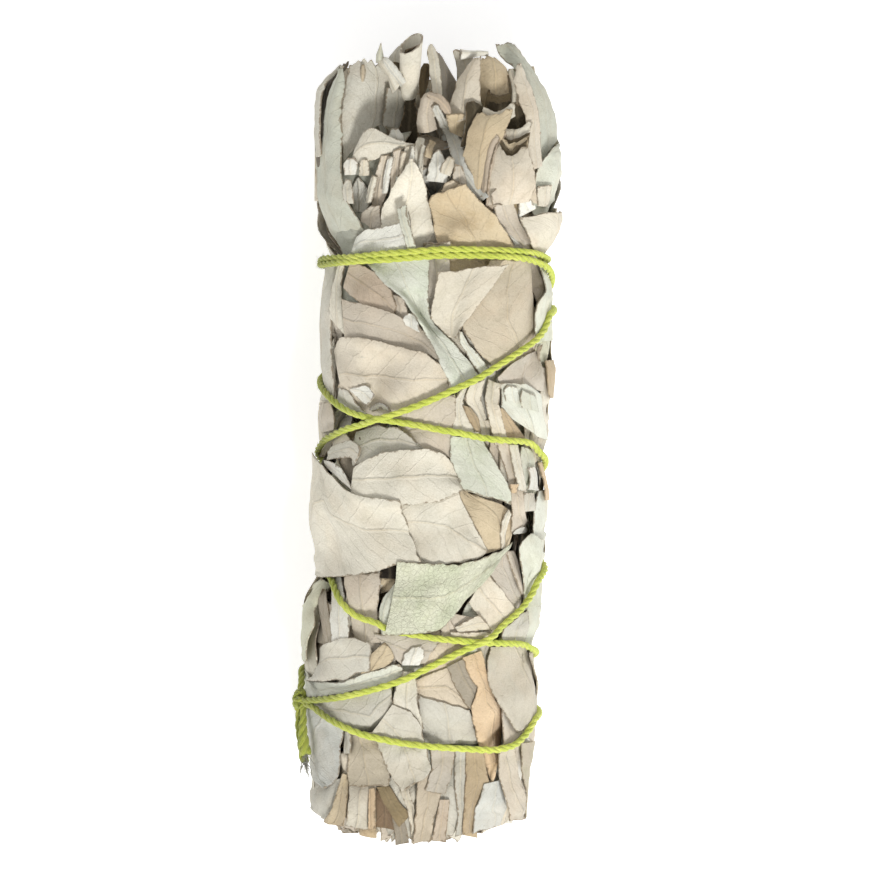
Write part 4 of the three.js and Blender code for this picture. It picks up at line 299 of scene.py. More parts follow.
# Leaves of the open end that stand free: rows of points from the root to the tip, each x,y in
# photo pixels and the height over the axis in mm. They are named; tone; dark=; rows.
# Olive rows darkened below .6 are dark sheets of painted shadow where the open end lies in shade:
# in its hollows, gaps, pockets and mouths.
# left_hollow, hollow_right, pointed_side and dark_sliver are leaves darkened partly as painted
# shade, for their parts that lie in shadow.
SHEETS = """
left_hollow; grey_brown; dark=.4; 318,168,3 326,162,5 334,150,7 /
 316,135,3 323,130,5.2 331,125,7.2
 / 319,110,3.4 326,108,5.4 334,105,7.4 / 320,90,4 329,90,5.6 339,90,7.4
 / 329,80,5 336,78,6.2 344,77,7.6 / 340,71,6.4 344,69,7 350,64,7.6
left_rim; grey; dark=.95; 317,158,2.6 319.5,158,4.6 322,156,5.6 /
 314.5,135,2.8 318,134,5 321,132,5.8
 / 316,108,3.4 319,108,5.8 322,108,6.4 / 319,90,4.6 321.5,89,6.4 325,90,6.8 /
 329,79,6 331,78,7.2 334,79,7.4
 / 339,71,7 342,70,7.8 345,70,7.9
far_right; pale_green; dark=.84; 536,168,7 546,155,4.5 557,140,.8 /
 532,122,7 542,114,5 554,114,1.2
 / 525,92,6.5 534,88,5.2 545,90,2 / 513,70,6 521,66,5.2 531,69,3 / 500,60,5.5 510,54,5.2 521,56,4
 / 495,49,5 504,46,5 515,46,4.5
dark_sliver; olive; dark=.42; 420,100,4 422,99,4 424,98,4 / 419,84,4.2 424,84,4.4 428,84,4.2
 / 421,70,4.4 426,69,4.6 431,72,4.4 / 424,65,4.6 427,65,4.7 430,67,4.6
tube_wing; grey; dark=.92; 391,66,5.4 396,69,6 402,72,6.6 / 389,61,5.4 395,58,6 403,56,6.6
 / 396,51,5.8 400,49,6 404,46,6.6
thin_spike; pale_green; dark=.95; 377,66,8.2 380,64,8.6 384,62,8.4 /
 377,57,8.4 380,55,8.8 383,56,8.4
 / 380,50,8.4 380.7,49.5,8.5 381.5,50,8.4 / 381,46.6,8.4 381.2,46.5,8.4 381.4,46.6,8.4
hollow_wall; grey; dark=1 net=5; 344,164,9 356,150,9 368,136,8.2 380,127,6.4 401,128,4.2
 / 342,132,9.2 354,125,9.2 368,120,8.2 384,116,6 404,115,4
 / 344,110,9.4 356,104,9.3 369,100,8.3 385,98,6 405,98,4
 / 347,90,9.2 358,86,9.2 370,83,8.6 386,84,6.8 405,88,5
 / 349,77,8.8 358,74,8.8 369,73,8.5 381,75,7.6 397,84,6.2
 / 349.5,69,8.4 357,66,8.4 366,64,8.4 377,67,8 389,77,7
hollow_right; grey; dark=.74 net=4; 383,128,7 392,129,6.2 403,129,5 /
 384,115,7.1 393,116,6.2 405,117,4.8
 / 386,100,7.2 395,101,6.4 407,102,5 / 388,90,7.9 396,91,7 405,93,5.8
hollow_floor; olive; dark=.13; 398,150,7 409,151,6.8 420,150,7 /
 400,130,6.4 410,130,6.2 419,130,6.6
 / 404,112,5.8 411,112,5.8 417,112,6 / 406,96,5.4 411,95,5.6 415,94,5.6
wing_shadow; olive; dark=.2; 394,77,7.3 397,79,7.4 400,81,7.3 / 392,68,7.3 396,70,7.5 400,72,7.3
 / 391,65,7.2 395,65,7.3 399,66,7.2
nub_leaf; white; dark=1; 404,147,9.5 400,149,9.8 392,146,9.5 /
 404,141,9.9 397,141,10.9 389,140,9.9
 / 401,135,9.7 396,132,10.1 391,133,9.7
tube_shadow; olive; dark=.16; 404.5,61,8.6 407,60,8.6 410,58.5,8.6 /
 404.5,57,8.7 412,53.5,8.8 421,49.5,8.7
 / 405.5,54.5,8.8 413,50.8,8.9 420.5,47.8,8.8
dark_band; olive; dark=.19; 460,150,10.9 463,150,11 470,147,10.9 /
 463.5,138,10.9 467,138,11 474,135,10.9
 / 466,124,10.8 470,125,10.9 480,124,10.8 / 465.5,111,10.6 471,111,10.7 484,113,10.6
 / 466,106,10.4 472,105,10.4 479,107,10.4
pocket_soft; olive; dark=.55; 483,120,8.5 498,122,8.7 512,118,8.5 /
 484,106,8.3 498,106,8.5 512,103,8.3
 / 486,98,8.2 498,102,8.3 511,96,8.1 / 487.5,93,8.1 490,97,8.2 494,100,8.2
dark_pocket; olive; dark=.17; 484,120,8.9 498,122,9.1 512,118,8.9 /
 486,109,8.7 498,110,8.9 511.5,107,8.7
 / 487.5,103,8.6 498,106.5,8.8 510.5,102,8.6
inner_gap; olive; dark=.3; 507,106,8.1 509.5,106,8.2 512,106,8.1 /
 508.5,90,7.9 510.5,90,8 513,90,7.9
 / 507,78,7.4 509,78,7.5 511,79,7.4
dark_mouth; olive; dark=.17; 503,143,9.5 516,144,9.6 531,141,9.3 /
 505,124,9.4 516,123,9.5 528,121,9.2
 / 508,109,9.2 516,107,9.3 523,109,9.2
torn_scrap; grey_tan; dark=.82; 361.5,84,8.9 363,85,9.1 365,84,8.9 / 361,76,9 363,76,9.2 366,76,9
 / 362,69,8.9 363.5,68,9 365,69,8.9
fold_back; cream; dark=.9; 393,96,7.6 397,92,8.2 400,88,8.2 / 388,82,8 391,79,8.8 394,77,8.6
 / 381,70,8.2 383,67,8.8 385,65,8.6 / 378,65,8 379,63.5,8.4 381,62,8.3
fold_front; white; dark=.95; 401,90,8 404,87,8.8 407,84,8.4 / 392,78,8.6 395,75,9.4 398,72,9
 / 385,67,8.8 387,64,9.4 389,62,9.1 / 383,63,8.7 384,61.5,8.8 385,60.5,8.8
curl_back; grey; dark=.93; 458,98,5 466,95,5.5 476,92,5.5 / 457,76,5.2 465,75,5.8 477,74,5.8
 / 455,63,5.6 463,62,6.4 475,63,6.2 / 453,54,6.2 459,53,7 466,57,7
tan_round; tan; dark=.95; 484,116,6.6 497,114,6.8 508,108,6.3 / 478,95,7.2 495,92,8 511,90,6.8
 / 478,78,7.2 495,76,8 510,80,6.8 / 479,66,7 493,63,7.4 505,69,6.6 /
 481,61,6.9 488,60,6.9 496,62,6.7
curled_tip; rosy; dark=.97; 446,124,8.4 462,124,9.6 480,116,9.9 /
 452,100,8.6 466,98,9.8 480,95,9.8
 / 458,83,8.4 469,81,9.6 480,80,9.6 / 467,70,8.4 474,68,9.2 480,68,9.2 /
 474,63,8.5 477,61,8.7 480,61,8.8
right_inner; rosy; dark=.97; 526,175,10.3 533,172,9.8 541,168,8.2 /
 525,127,10.3 530,121,10 538,120,8.6
 / 518,104,10 524,97,9.8 532,95,8.4 / 514,82,9.4 519,76,9.4 525,80,8 /
 517,70,9 518,67,9 520,68,8.6
inner_edge; cream; dark=.95; 511,108,8.9 513,106,9.2 515,106,9 /
 511.5,90,8.3 513.5,88,8.8 515,88,8.5
 / 508,73,7.5 510,72,7.8 512,73,7.6
pointed_tip; cream; dark=.98; 433,120,9.2 437,119,9.3 441,117,8.8 /
 433,100,8.8 438,99,9 442,99,8.6
 / 431,84,8.2 436,83,8.6 441,82,8.2 / 429,66,7.6 434,65,7.8 439,64,7.4
 / 427.5,54,7 431,52,7.1 436,53,6.8 / 429,48,6.6 430.5,47,6.6 433,49,6.4
pointed_side; grey_brown; dark=.6; 441,118,8.6 446,117,7 450,114,5.4 /
 441,99,8.4 447,99,6.6 453,98,4.8
 / 440,82,8 447,84,6 457,87,4.4 / 438.5,66,7.3 444,68,6 449,72,5 / 436,54,6.8 438,55,6.4 440,58,6
pink_fold; pink; dark=.98; 417,135,9.2 426,136,10 437,132,8.8 /
 418,118,9.6 425,118,10.4 434,118,9.2
 / 421,104,9.6 427,103,10.3 437,106,9.4 / 424,98,9.5 431,96,9.8 439,98,9.5
pink_strip; brown_pink; dark=1; 450,121,9.8 450.5,118,10.2 451,115,10 /
 443,114,10.2 446,110,10.8 448,106,10.4
 / 436,106,10.4 438,102,10.9 440,98,10.6 / 427,100,10.2 428,98,10.5 429,96,10.4
upper_flap; cream; dark=.95 net=2.5; 353,168,10.8 354,160,11.2 357,150,11.4 /
 366,166,12 364,152,12.5 367,133,12.2
 / 380,161,12.6 379,147,13 377,133,12.6 / 392,157,12.9 392,150,13.2 389,140,12.8
 / 404,153,12.7 404,149,12.9 404,145,12.8 / 415,150,12.4 415.4,149.4,12.4 415,148.6,12.4
roll_lip; cream; dark=.93; 482,124,11 498,128,11.6 514,120,11 /
 482,115,11 498,119,11.5 514,110,10.9
 / 484,111,10.9 498,115.5,11.2 512,106,10.7
roll_face; tan; dark=1; 461,198,12.2 479,196,12.9 496,192,12.6 /
 462,170,12 481,165,12.9 498,160,12.6
 / 465,148,11.8 486,140,12.8 504,136,12.3 / 470,130,11.4 489,124,12.4 509,124,11.8
 / 477,116,11.1 493,119,12.1 512,113,11.3
lip_back; cream; dark=.97; 497,152,10.8 512,156,11.3 527,150,10.9 /
 497.5,134,10.8 512,138,11.3 530,131,10.7
 / 499,129.5,10.6 512,133.5,11 532,125.5,10.5
lip_gap; olive; dark=.34; 499,160,11.6 511,164,12 526,157,11.5 /
 499,140,11.5 511,147,11.9 528,139,11.4
 / 500.5,137.5,11.4 511,144,11.7 529,136.5,11.2
lip_mid; tan; dark=1.04; 499,164,12.3 510,168,12.9 527,161,12.1 /
 499,143.5,12.2 510,153,12.8 527,142.5,12
 / 500.5,140.5,12 510,149,12.5 528,139.5,11.7
mid_gap; olive; dark=.32; 499,168,12.8 509.5,172,13.4 526,166,12.6 /
 499.5,147,12.7 509.5,158,13.3 526,146.5,12.5
 / 500.5,144.5,12.6 509.5,154.5,13.1 526.5,144,12.4
fold_side; brown_pink; dark=1; 480,200,13 485,200,13.6 490,200,13.6 /
 484,166,12.8 488,166,13.5 491,166,13.4
 / 488,150,12.6 491,149,13.2 494,150,13 / 494,137,12.2 496.5,139,12.7 499.5,143,12.6
fold_face; rosy; dark=1; 489,208,13.8 510,208,14.5 535,204,13 /
 490,175,13.6 511,175,14.5 533,172,13
 / 493,160,13.4 510,166,14.3 529,160,13 / 500,148.5,13 509,160,13.9 525.5,148.5,12.8
long_left; pale_green; dark=.8 net=1.5; 323,264,3 337,262,8.2 352,260,10.6 /
 320,235,2.4 335,232,8 353,230,10.8
 / 317,200,1.4 331,196,7.6 346,198,10.2 / 317,166,1.4 330,163,7.8 342,166,10
 / 321,140,3.6 332,136,9 343,140,10.2 / 325,120,5.6 333,115,9.4 342,115,10.2
 / 330,98,7.4 337,96,9.9 345,97,9.9 / 337,82,8.6 340,80,9.8 345,85,9.6 /
 340,74,9 341.5,72,9.4 343,75,9.3
"""
# Rolled leaves: a path of x,y in photo pixels, height over the axis, half width and half height
# in mm; then the angles, in degrees, where the roll starts and ends, how far the near wall falls
# short of the far one and how much the mouth slants, in mm.
ROLLS = """
tube_leaf; cream; 409,104,4.6,.8,.7 409,96,5.8,.9,.8 410,78,7.6,1.15,1.1 412,38,8.6,1.4,1.35;
 -75 300 2.2 .8
curl_roll; white; 488,56,6.4,.2,.2 478,56,6.8,.28,.35 468,57,7.1,.42,.6 459,57,7.2,.6,.8; -150
 190 .25 0
"""
# The front of each turn of the twine: x,y in photo pixels.
TWINE_TURNS = [
    "308,699 330,696 350,692 370,687 390,681 410,674 430,664 450,655 470,646 490,636 510,622 "
    "528,609 541,593 545,582",
    "316,440 322,437 340,429 360,424 380,419 400,412 420,405 440,397 460,388 480,380 500,368 "
    "520,356 540,343 550,333 555,323 557,315",
    "320,259 350,259 380,256 400,255 440,252 480,252 520,253 540,254 555,259",
    "320,265 350,263 380,262 440,258 480,258 520,259 540,262 555,270",
    "318,393 322,398 335,408 345,413 365,418 380,420 400,423 420,426 440,430 460,433 480,437 "
    "500,440 535,442 543,446 547,452",
    "323,575 332,592 340,602 348,611 355,615 365,618 378,620 382,626 408,631 440,636 480,640 "
    "520,642 532,643 539,648",
    "310,704 318,710 340,722 360,730 380,735 400,739 440,743 480,746 495,747 515,743 528,733 "
    "536,717",
]

# ------------------------------------------------------------------ tones, as sRGB 0-255
TONES = dict(
    cream=(227, 221, 204), white=(232, 230, 219), pale_green=(216, 217, 200),
    grey_green=(213, 213, 190), green_white=(221, 222, 208), beige=(221, 213, 194),
    rosy=(219, 209, 190), pink=(212, 201, 183), grey_pink=(206, 197, 181),
    tan_pink=(213, 199, 176), tan=(210, 193, 162), tan_brown=(194, 174, 142),
    grey_tan=(207, 195, 172), orange=(217, 192, 158), grey=(207, 203, 189),
    cool=(211, 211, 202), brown_pink=(197, 182, 162), grey_brown=(172, 162, 144),
    # dark is the near-black of the stick's middle: painted shade for the depth that the holes
    # between the leaves show.
    olive=(160, 142, 108), brown=(140, 117, 92), dark=(62, 50, 40), lime=(206, 214, 84),
    lime_light=(218, 226, 120), frayed=(176, 172, 140))
GROWN_TONES = ("cream", "white", "pale_green", "grey_green", "beige", "beige", "rosy", "pink",
               "grey_pink", "tan_pink", "grey", "cool", "cream")
UNDER_TONES = ("brown_pink", "grey_brown", "tan_pink", "grey_pink", "grey", "olive", "pink")


def eased(value, start, end):
    """From 0 at the start to 1 at the end, with soft ends."""
    t = np.clip((value - start) / (end - start), 0, 1)
    return t * t * (3 - 2 * t)


def spline(a, b, c, d, t):
    """On a smooth line through four points: the point at the share t of the way from b to c."""
    return 0.5 * (2 * b + (c - a) * t + (2 * a - 5 * b + 4 * c - d) * t ** 2
                  + (3 * b - a - 3 * c + d) * t ** 3)


def measured(grid):
    """Distance of each point of a grid from its left margin and from its root."""
    wide = np.linalg.norm(np.diff(grid, axis=1), axis=2).cumsum(axis=1)
    wide = np.concatenate([np.zeros((len(grid), 1)), wide], axis=1)
    long = np.linalg.norm(np.diff(grid, axis=0), axis=2).mean(axis=1).cumsum()
    return wide, np.concatenate([[0], long])[:, None] + 0 * wide


def linear(tone):
    """A tone of the list as linear colour."""
    c = np.array(TONES[tone]) / 255.0
    return np.where(c <= 0.04045, c / 12.92, ((c + 0.055) / 1.055) ** 2.4)


# ------------------------------------------------------------------ the stick's own shape
def middle_x(y):
    """Where the stick's middle line lies at y."""
    return np.interp(y, GIRTH[:, 0], GIRTH[:, 1])


def girth(y):
    """Half the stick's width at y."""
    return np.interp(y, GIRTH[:, 0], GIRTH[:, 2])


# Past this share of the girth the plan runs on round the side, at this rate and so far.
WRAP_FROM = 0.94
WRAP_RATE = 9.0
WRAP_MOST = 0.09


def turn_at(x, y, share=1.0):
    """The angle round the axis at which the plan shows x. Past the rim it wraps on."""
    q = (x - middle_x(y)) / (girth(y) * share)
    out = np.abs(q)
    inside = np.arcsin(np.clip(out, 0, WRAP_FROM))
    past = np.minimum(np.maximum(out - WRAP_FROM, 0), WRAP_MOST) * WRAP_RATE
    return np.sign(q) * (inside + past)


def to_space(turn, y, r):
    """Angle, y and distance from the axis as a point of the frame, in mm."""
    return np.stack([
        middle_x(y) + r * np.sin(turn) + CENTRE_SHIFT[0],
        y + CENTRE_SHIFT[1],
        AXIS_HEIGHT + r * np.cos(turn)], axis=-1)


# ------------------------------------------------------------------ relief of the stick
# Cells round the axis and along it; how far they reach along y.
ROUND = 600
LONG = 560
FROM, TO = -54.0, 54.0
CELL = (TO - FROM) / LONG
relief = np.zeros((ROUND, LONG))
cell_turn = (np.arange(ROUND) + 0.5) / ROUND * TURN
cell_y = FROM + (np.arange(LONG) + 0.5) * CELL
relief[:] = girth(cell_y) * np.interp(cell_y, CORE[:, 0], CORE[:, 1])


def cells(turn, y):
    """The cells of the relief that hold these points."""
    a = np.floor(turn / TURN % 1.0 * ROUND).astype(int) % ROUND
    b = np.clip(((y - FROM) / CELL).astype(int), 0, LONG - 1)
    return a, b


def ground_at(turn, y):
    """The highest of the cells at and beside each point."""
    a, b = cells(turn, y)
    best = relief[a, b]
    for da, db in ((1, 0), (-1, 0), (0, 1), (0, -1)):
        best = np.maximum(best, relief[(a + da) % ROUND, np.clip(b + db, 0, LONG - 1)])
    return best


def finer(field, times):
    """A grid of values with times as many steps each way."""
    m, n = field.shape
    u = np.linspace(0, m - 1, (m - 1) * times + 1)
    v = np.linspace(0, n - 1, (n - 1) * times + 1)
    i = np.minimum(u.astype(int), m - 2)
    j = np.minimum(v.astype(int), n - 2)
    s = (u - i)[:, None]
    t = (v - j)[None, :]
    a = field[i][:, j]
    b = field[i][:, j + 1]
    c = field[i + 1][:, j]
    d = field[i + 1][:, j + 1]
    return (a * (1 - t) + b * t) * (1 - s) + (c * (1 - t) + d * t) * s


def mark(turn, y, r):
    """Raises the relief to the top of a leaf."""
    a, b = cells(finer(turn, 4), finer(y, 4))
    np.maximum.at(relief, (a.ravel(), b.ravel()), finer(r, 4).ravel() + BLADE / 2)


# ------------------------------------------------------------------ noise for waves and rims
def waves(draw, x, y, size, count=7):
    """A smooth field of about -1 to 1 whose bumps are about size mm across."""
    total = np.zeros_like(x)
    for _ in range(count):
        angle = draw.uniform(0, TURN)
        scale = TURN / (size * draw.uniform(1.3, 3.2))
        away = x * math.cos(angle) + y * math.sin(angle)
        total += np.sin(away * scale + draw.uniform(0, TURN))
    return total / math.sqrt(count)


def facets(draw, x, y, count, slope):
    """Flat areas that meet at sharp straight creases, as in a stiff leaf pressed flat."""
    total = np.zeros_like(x)
    for _ in range(count):
        angle = draw.uniform(0, TURN)
        away = x * math.cos(angle) + y * math.sin(angle)
        at = draw.uniform(np.percentile(away, 15), np.percentile(away, 85))
        total += draw.uniform(-1, 1) * slope * np.abs(away - at)
    far = np.stack([x, y, np.ones_like(x)], axis=-1).reshape(-1, 3)
    plane = np.linalg.lstsq(far, total.ravel(), rcond=None)[0]
    total = total - (far @ plane).reshape(total.shape)
    return total - total.min() * 0.6


# ------------------------------------------------------------------ laying of a leaf
leaves = []
ROOT_AT_AXIS, ROOT_AT_SKIN, ROOT_NARROWS = 37.0, 24.0, 0.6
SIDE_REACH = 0.92
RISE_TO_LEVEL = 0.45            # share of its length in which a leaf rises


def resampled(points, count):
    """So many points at even steps along a margin, its corners slightly rounded."""
    steps = np.hypot(*np.diff(points, axis=0).T)
    at = np.concatenate([[0], np.cumsum(steps)])
    t = np.linspace(0, at[-1], count)
    out = np.stack([np.interp(t, at, points[:, 0]), np.interp(t, at, points[:, 1])], axis=1)
    out[1:-1] = (out[:-2] + 4 * out[1:-1] + out[2:]) / 6
    return out


def blur(field):
    """One step of smoothing of a grid."""
    p = np.pad(field, 1, mode="edge")
    return (p[:-2, 1:-1] + p[2:, 1:-1] + p[1:-1, :-2] + p[1:-1, 2:] + 2 * field) / 6


def drape(turn, y, outer, passes):
    """A stiff sheet over the relief: its distance from the axis, and that of what it lies on."""
    base = ground_at(turn, y) + BLADE / 2 + CLEAR
    least = np.maximum(base, outer)
    r = least.copy()
    for _ in range(passes):
        r = np.maximum(blur(r), least)
    return blur(blur(r)), base


def lay(turn, y, across, down, tone, node, draw, outer=0.0, stiff=40, lift=0.0, roll=0.0,
        fold=0.0, wave=0.06, bends=3, slope=0.05, curl=0.0, tip_curl=0.0, rib=0.08, proud=0.9,
        dark=1.0, flat=0.0, net=1.0):
    """Lays a leaf, a grid of turn and y from root to tip, on the relief, with its own bends."""
    m, n = turn.shape
    u = np.linspace(0, 1, m)[:, None] + 0 * turn
    v = np.linspace(-1, 1, n)[None, :] + 0 * turn
    r, base = drape(turn, y, outer, stiff)
    tip = np.clip((u - 0.3) / 0.7, 0, 1)
    rise = lift * u * u + roll * tip * v * v + fold * np.abs(v) + curl * v ** 4
    rise = rise + tip_curl * tip ** 3
    rise = rise + wave * (0.8 + waves(draw, across, down, 3.5))
    rise = rise + facets(draw, across, down, int(bends), slope)
    rise = rise - rib * np.exp(-(across / 0.45) ** 2)
    free = np.clip(u * 4, 0, 1)
    r = np.maximum(r + rise * free, base)
    mark(turn, y, r)
    leaves.append(dict(
        turn=turn, y=y, r=r, node=node, proud=proud, flat=flat, net=net,
        tone=linear(tone) * draw.uniform(0.94, 1.04) * dark, seed=draw.uniform(0, 100),
        half=BLADE / 2 * (0.5 + 0.5 * (1 - v ** 8))))


def stem_at(turn):
    """The node of the stem on this side of the stick."""
    return "leafy_stem_%d" % (int((float(turn) / TURN * SECTORS + 0.5) % SECTORS) + 2)


def rows_of(table):
    """Parts of each row. A line that starts with a space goes on with the row before it."""
    for row in table.strip().replace("\n ", " ").split("\n"):
        if row:
            yield [part.strip() for part in row.split(";")]


def numbers_of(text):
    """Rows of numbers from points that commas and blanks divide."""
    return np.array([[float(number) for number in point.split(",")] for point in text.split()])


def settings_of(text):
    """Numbers by their names, from name=value items."""
    return {key: float(value) for key, value in (item.split("=") for item in text.split())}


def to_plan(points):
    """Points x,y in photo pixels, with a height or without, as mm on the plan."""
    x = (points[..., :1] - PLAN_ORIGIN[0]) / PLAN_GRID
    y = (PLAN_ORIGIN[1] - points[..., 1:2]) / PLAN_GRID
    return np.concatenate([x, y, points[..., 2:]], axis=-1)


def read_plan(table):
    """Name, two margins, tone and settings of each leaf in a table of the plan."""
    rows = []
    for name, left, right, tone, *how in rows_of(table):
        how = settings_of(" ".join(how))
        rows.append((name, to_plan(numbers_of(left)), to_plan(numbers_of(right)), tone, how))
    return rows


STEP = 0.42                     # between the points of a leaf that is drawn, in mm


def planned_grid(left, right, how):
    """Margins of a leaf at even steps, its size in steps and how far in it lies."""
    level = how.get("level")
    both = np.concatenate([left, right])
    if level:
        aside = np.abs(both[:, 0] - middle_x(both[:, 1])) / girth(both[:, 1]) / SIDE_REACH
        level = min(max(level, aside.max()), 1.0)
        root = ROOT_AT_AXIS + (ROOT_AT_SKIN - ROOT_AT_AXIS) * level
        if left[0, 1] > root:
            middle = (left[0, 0] + right[0, 0]) / 2
            a = (left[0, 0] + (middle - left[0, 0]) * ROOT_NARROWS, root)
            b = (right[0, 0] + (middle - right[0, 0]) * ROOT_NARROWS, root)
            left = np.concatenate([[a], left])
            right = np.concatenate([[b], right])
    length = sum(np.hypot(*np.diff(line, axis=0).T).sum() for line in (left, right)) / 2
    m = int(np.clip(length / STEP, 8, 90)) + 1
    a = resampled(left, m)
    b = resampled(right, m)
    wide = np.hypot(*(b - a).T)
    n = int(np.clip(wide.max() / STEP, 5, 70)) + 1
    return a, b, wide, length, m, n, level


def ragged(a, b, wide, draw, size):
    """Uneven margins: each point slides a little along the line across the leaf."""
    m = len(a)
    t = np.arange(m) * STEP
    unit = (b - a) / np.maximum(wide, 0.05)[:, None]
    zero = np.zeros(m)
    slides = [size * waves(draw, t, zero, 1.0) + 0.4 * size * waves(draw, t, zero, 0.45)
              for _ in range(2)]
    return a + unit * slides[0][:, None], b + unit * slides[1][:, None]


LAYER = BLADE + CLEAR + 0.25    # height of one leaf in a pile of them
PILED_FROM = 24.0               # y from where the pile is counted


def lay_planned(rows, seed, dark=1.0):
    """Lays the leaves of a table of the plan, in its order."""
    prepared = []
    draw = np.random.RandomState(seed)
    for name, left, right, tone, how in rows:
        a, b, wide, length, m, n, level = planned_grid(left, right, how)
        rough_a, rough_b = ragged(a, b, wide, draw, min(0.07, 0.02 * wide.max()))
        v = np.linspace(0, 1, n)[None, :]
        x = a[:, :1] * (1 - v) + b[:, :1] * v
        y = a[:, 1:] * (1 - v) + b[:, 1:] * v
        turn = turn_at(x, y, level or 1.0)
        off = (rough_a - a)[:, None] * (1 - v)[..., None] + (rough_b - b)[:, None] * v[..., None]
        run = np.hypot(b[-1, 0] - a[-1, 0], b[-1, 1] - a[-1, 1])
        torn = 0.12 * waves(draw, v * run, 0 * v, 0.9) * min(run / 3, 1)
        heading = ((a[-1] + b[-1]) - (a[-2] + b[-2])) / 2
        heading = heading / max(np.hypot(*heading), 1e-3)
        fade = np.exp(-(np.arange(m)[::-1] * STEP / 0.8))[:, None]
        turn = turn + (off[..., 0] + heading[0] * torn * fade) / girth(y)
        y = y + off[..., 1] + heading[1] * torn * fade
        across = (v - 0.5) * np.maximum(wide, 0.1)[:, None]
        down = np.linspace(0, length, m)[:, None] + 0 * v
        prepared.append((name, turn, y, across, down, tone, how, level))
    over = np.zeros((ROUND, LONG))
    under = []
    for name, turn, y, across, down, tone, how, level in reversed(prepared):
        a, b = cells(finer(turn, 3), finer(y, 3))
        seen = np.unique(a * LONG + b)
        seen = seen[cell_y[seen % LONG] > PILED_FROM]
        under.append(np.percentile(over.flat[seen], 80) if len(seen) else 0)
        over.flat[seen] += 1
    under.reverse()
    for (name, turn, y, across, down, tone, how, level), count in zip(prepared, under):
        outer = 0.0
        u = np.linspace(0, 1, turn.shape[0])[:, None]
        skin = girth(y) - BLADE / 2
        if level:
            outer = np.minimum(level * skin, skin - LAYER * count) * eased(u, 0, RISE_TO_LEVEL)
        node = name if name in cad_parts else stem_at(np.mean(turn))
        flat = 0.0 if level else 1.0
        kwargs = {key: how[key] for key in how if key not in ("level", "own")}
        small = min(across.max() / 2.5, 1)
        kwargs.setdefault("wave", 0.07 * small)
        kwargs.setdefault("bends", 2 + int(4 * small))
        kwargs.setdefault("slope", 0.08)
        kwargs.setdefault("dark", dark)
        kwargs.setdefault("rib", 0.08 * small)
        kwargs.setdefault("curl", draw.uniform(-0.05, 0.15) * small)
        kwargs.setdefault("tip_curl", draw.uniform(-0.05, 0.2) * small)
        kwargs.setdefault("fold", draw.uniform(-0.1, 0.2) * small)
        lay(turn, y, across, down, tone, node, draw, outer=outer, flat=flat, **kwargs)


def grow(draw, turn, start, end, width, tone, lean=0.0, level=0.0, node=None, step=0.7,
         shape="leaf", **how):
    """A leaf that grows along the stick from start to end, in mm, at an angle round it."""
    length = math.hypot(end - start, lean)
    m = int(np.clip(length / step, 5, 60)) + 1
    n = int(np.clip(width / step, 4, 30)) + 1
    u = np.linspace(0, 1, m)[:, None]
    v = np.linspace(-1, 1, n)[None, :]
    if shape == "leaf":
        half = width / 2 * np.maximum(np.sin(math.pi * (0.14 + 0.82 * u)) ** 0.8, 0.12)
    else:
        half = width / 2 * (0.8 + 0.2 * u)
    t = u * length
    half = half * (1 + 0.06 * waves(draw, t, 0 * t, 1.4))
    radius = max(level, 0.25) * MEAN_GIRTH if level else MEAN_GIRTH
    angle = turn + (lean * (u - 0.5) + half * v) / radius
    y = start + (end - start) * u + 0 * v
    if shape != "leaf":
        y = y + np.sign(end - start) * 0.35 * waves(draw, half * v, 0 * v, 1.2) * u ** 6
    outer = 0.0
    if level:
        outer = level * (girth(y) - BLADE / 2) * eased(u, 0, RISE_TO_LEVEL)
    node = node or stem_at(turn)
    lay(angle, y, half * v, t + 0 * v, tone, node, draw, outer=outer, **how)


# ------------------------------------------------------------------ layers that only fill
GOLDEN = 0.618                  # share of a turn from one leaf to the next
UNDER_HOW = dict(step=0.8, stiff=4, wave=0.5, bends=4, slope=0.12, dark=0.8)
FILLING_HOW = dict(step=0.6, stiff=14, wave=0.12, bends=4, slope=0.07, dark=0.9)
TIP_HOW = dict(step=0.6, stiff=16, wave=0.3, bends=4, slope=0.08)
# The heart's leaves stand deep in the open end: their dark=0.6 is painted shade.
HEART_HOW = dict(node="leafy_stem_1", step=0.6, stiff=8, wave=0.3, bends=4, slope=0.06, dark=0.6)
FOOT_HOW = dict(shape="cut", step=0.8, stiff=10, wave=0.22, bends=3, slope=0.06, rib=0.0,
                dark=0.85)
BACK_HOW = dict(step=0.55, stiff=26, wave=0.14, bends=5, slope=0.06, proud=0.35)


def lay_under(seed, count):
    """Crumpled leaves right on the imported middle, seen only in the gaps."""
    draw = np.random.RandomState(seed)
    for _ in range(count):
        turn = draw.uniform(0, TURN)
        start = draw.uniform(-45, 28)
        reach_y = draw.uniform(7, 13) * draw.choice([-1, 1])
        end = np.clip(start + reach_y, -48, 40)
        if abs(end - start) < 4:
            continue
        grow(draw, turn, start, end, draw.uniform(3.5, 7), draw.choice(UNDER_TONES),
             lean=draw.uniform(-5, 5), fold=draw.uniform(-0.5, 0.8), curl=draw.uniform(0, 0.6),
             **UNDER_HOW)


# Gaps between the outer leaves that show the depth of the stick: two corners of each, in photo
# pixels.
HOLES = """
377,565 399,577; 525,508 534,524; 513,536 520,552; 311,507 316,533; 331,330 340,365;
353,218 360,237; 448,178 460,190; 427,190 437,200; 376,390 384,404; 321,432 352,458;
442,626 455,630; 308,600 320,650
"""


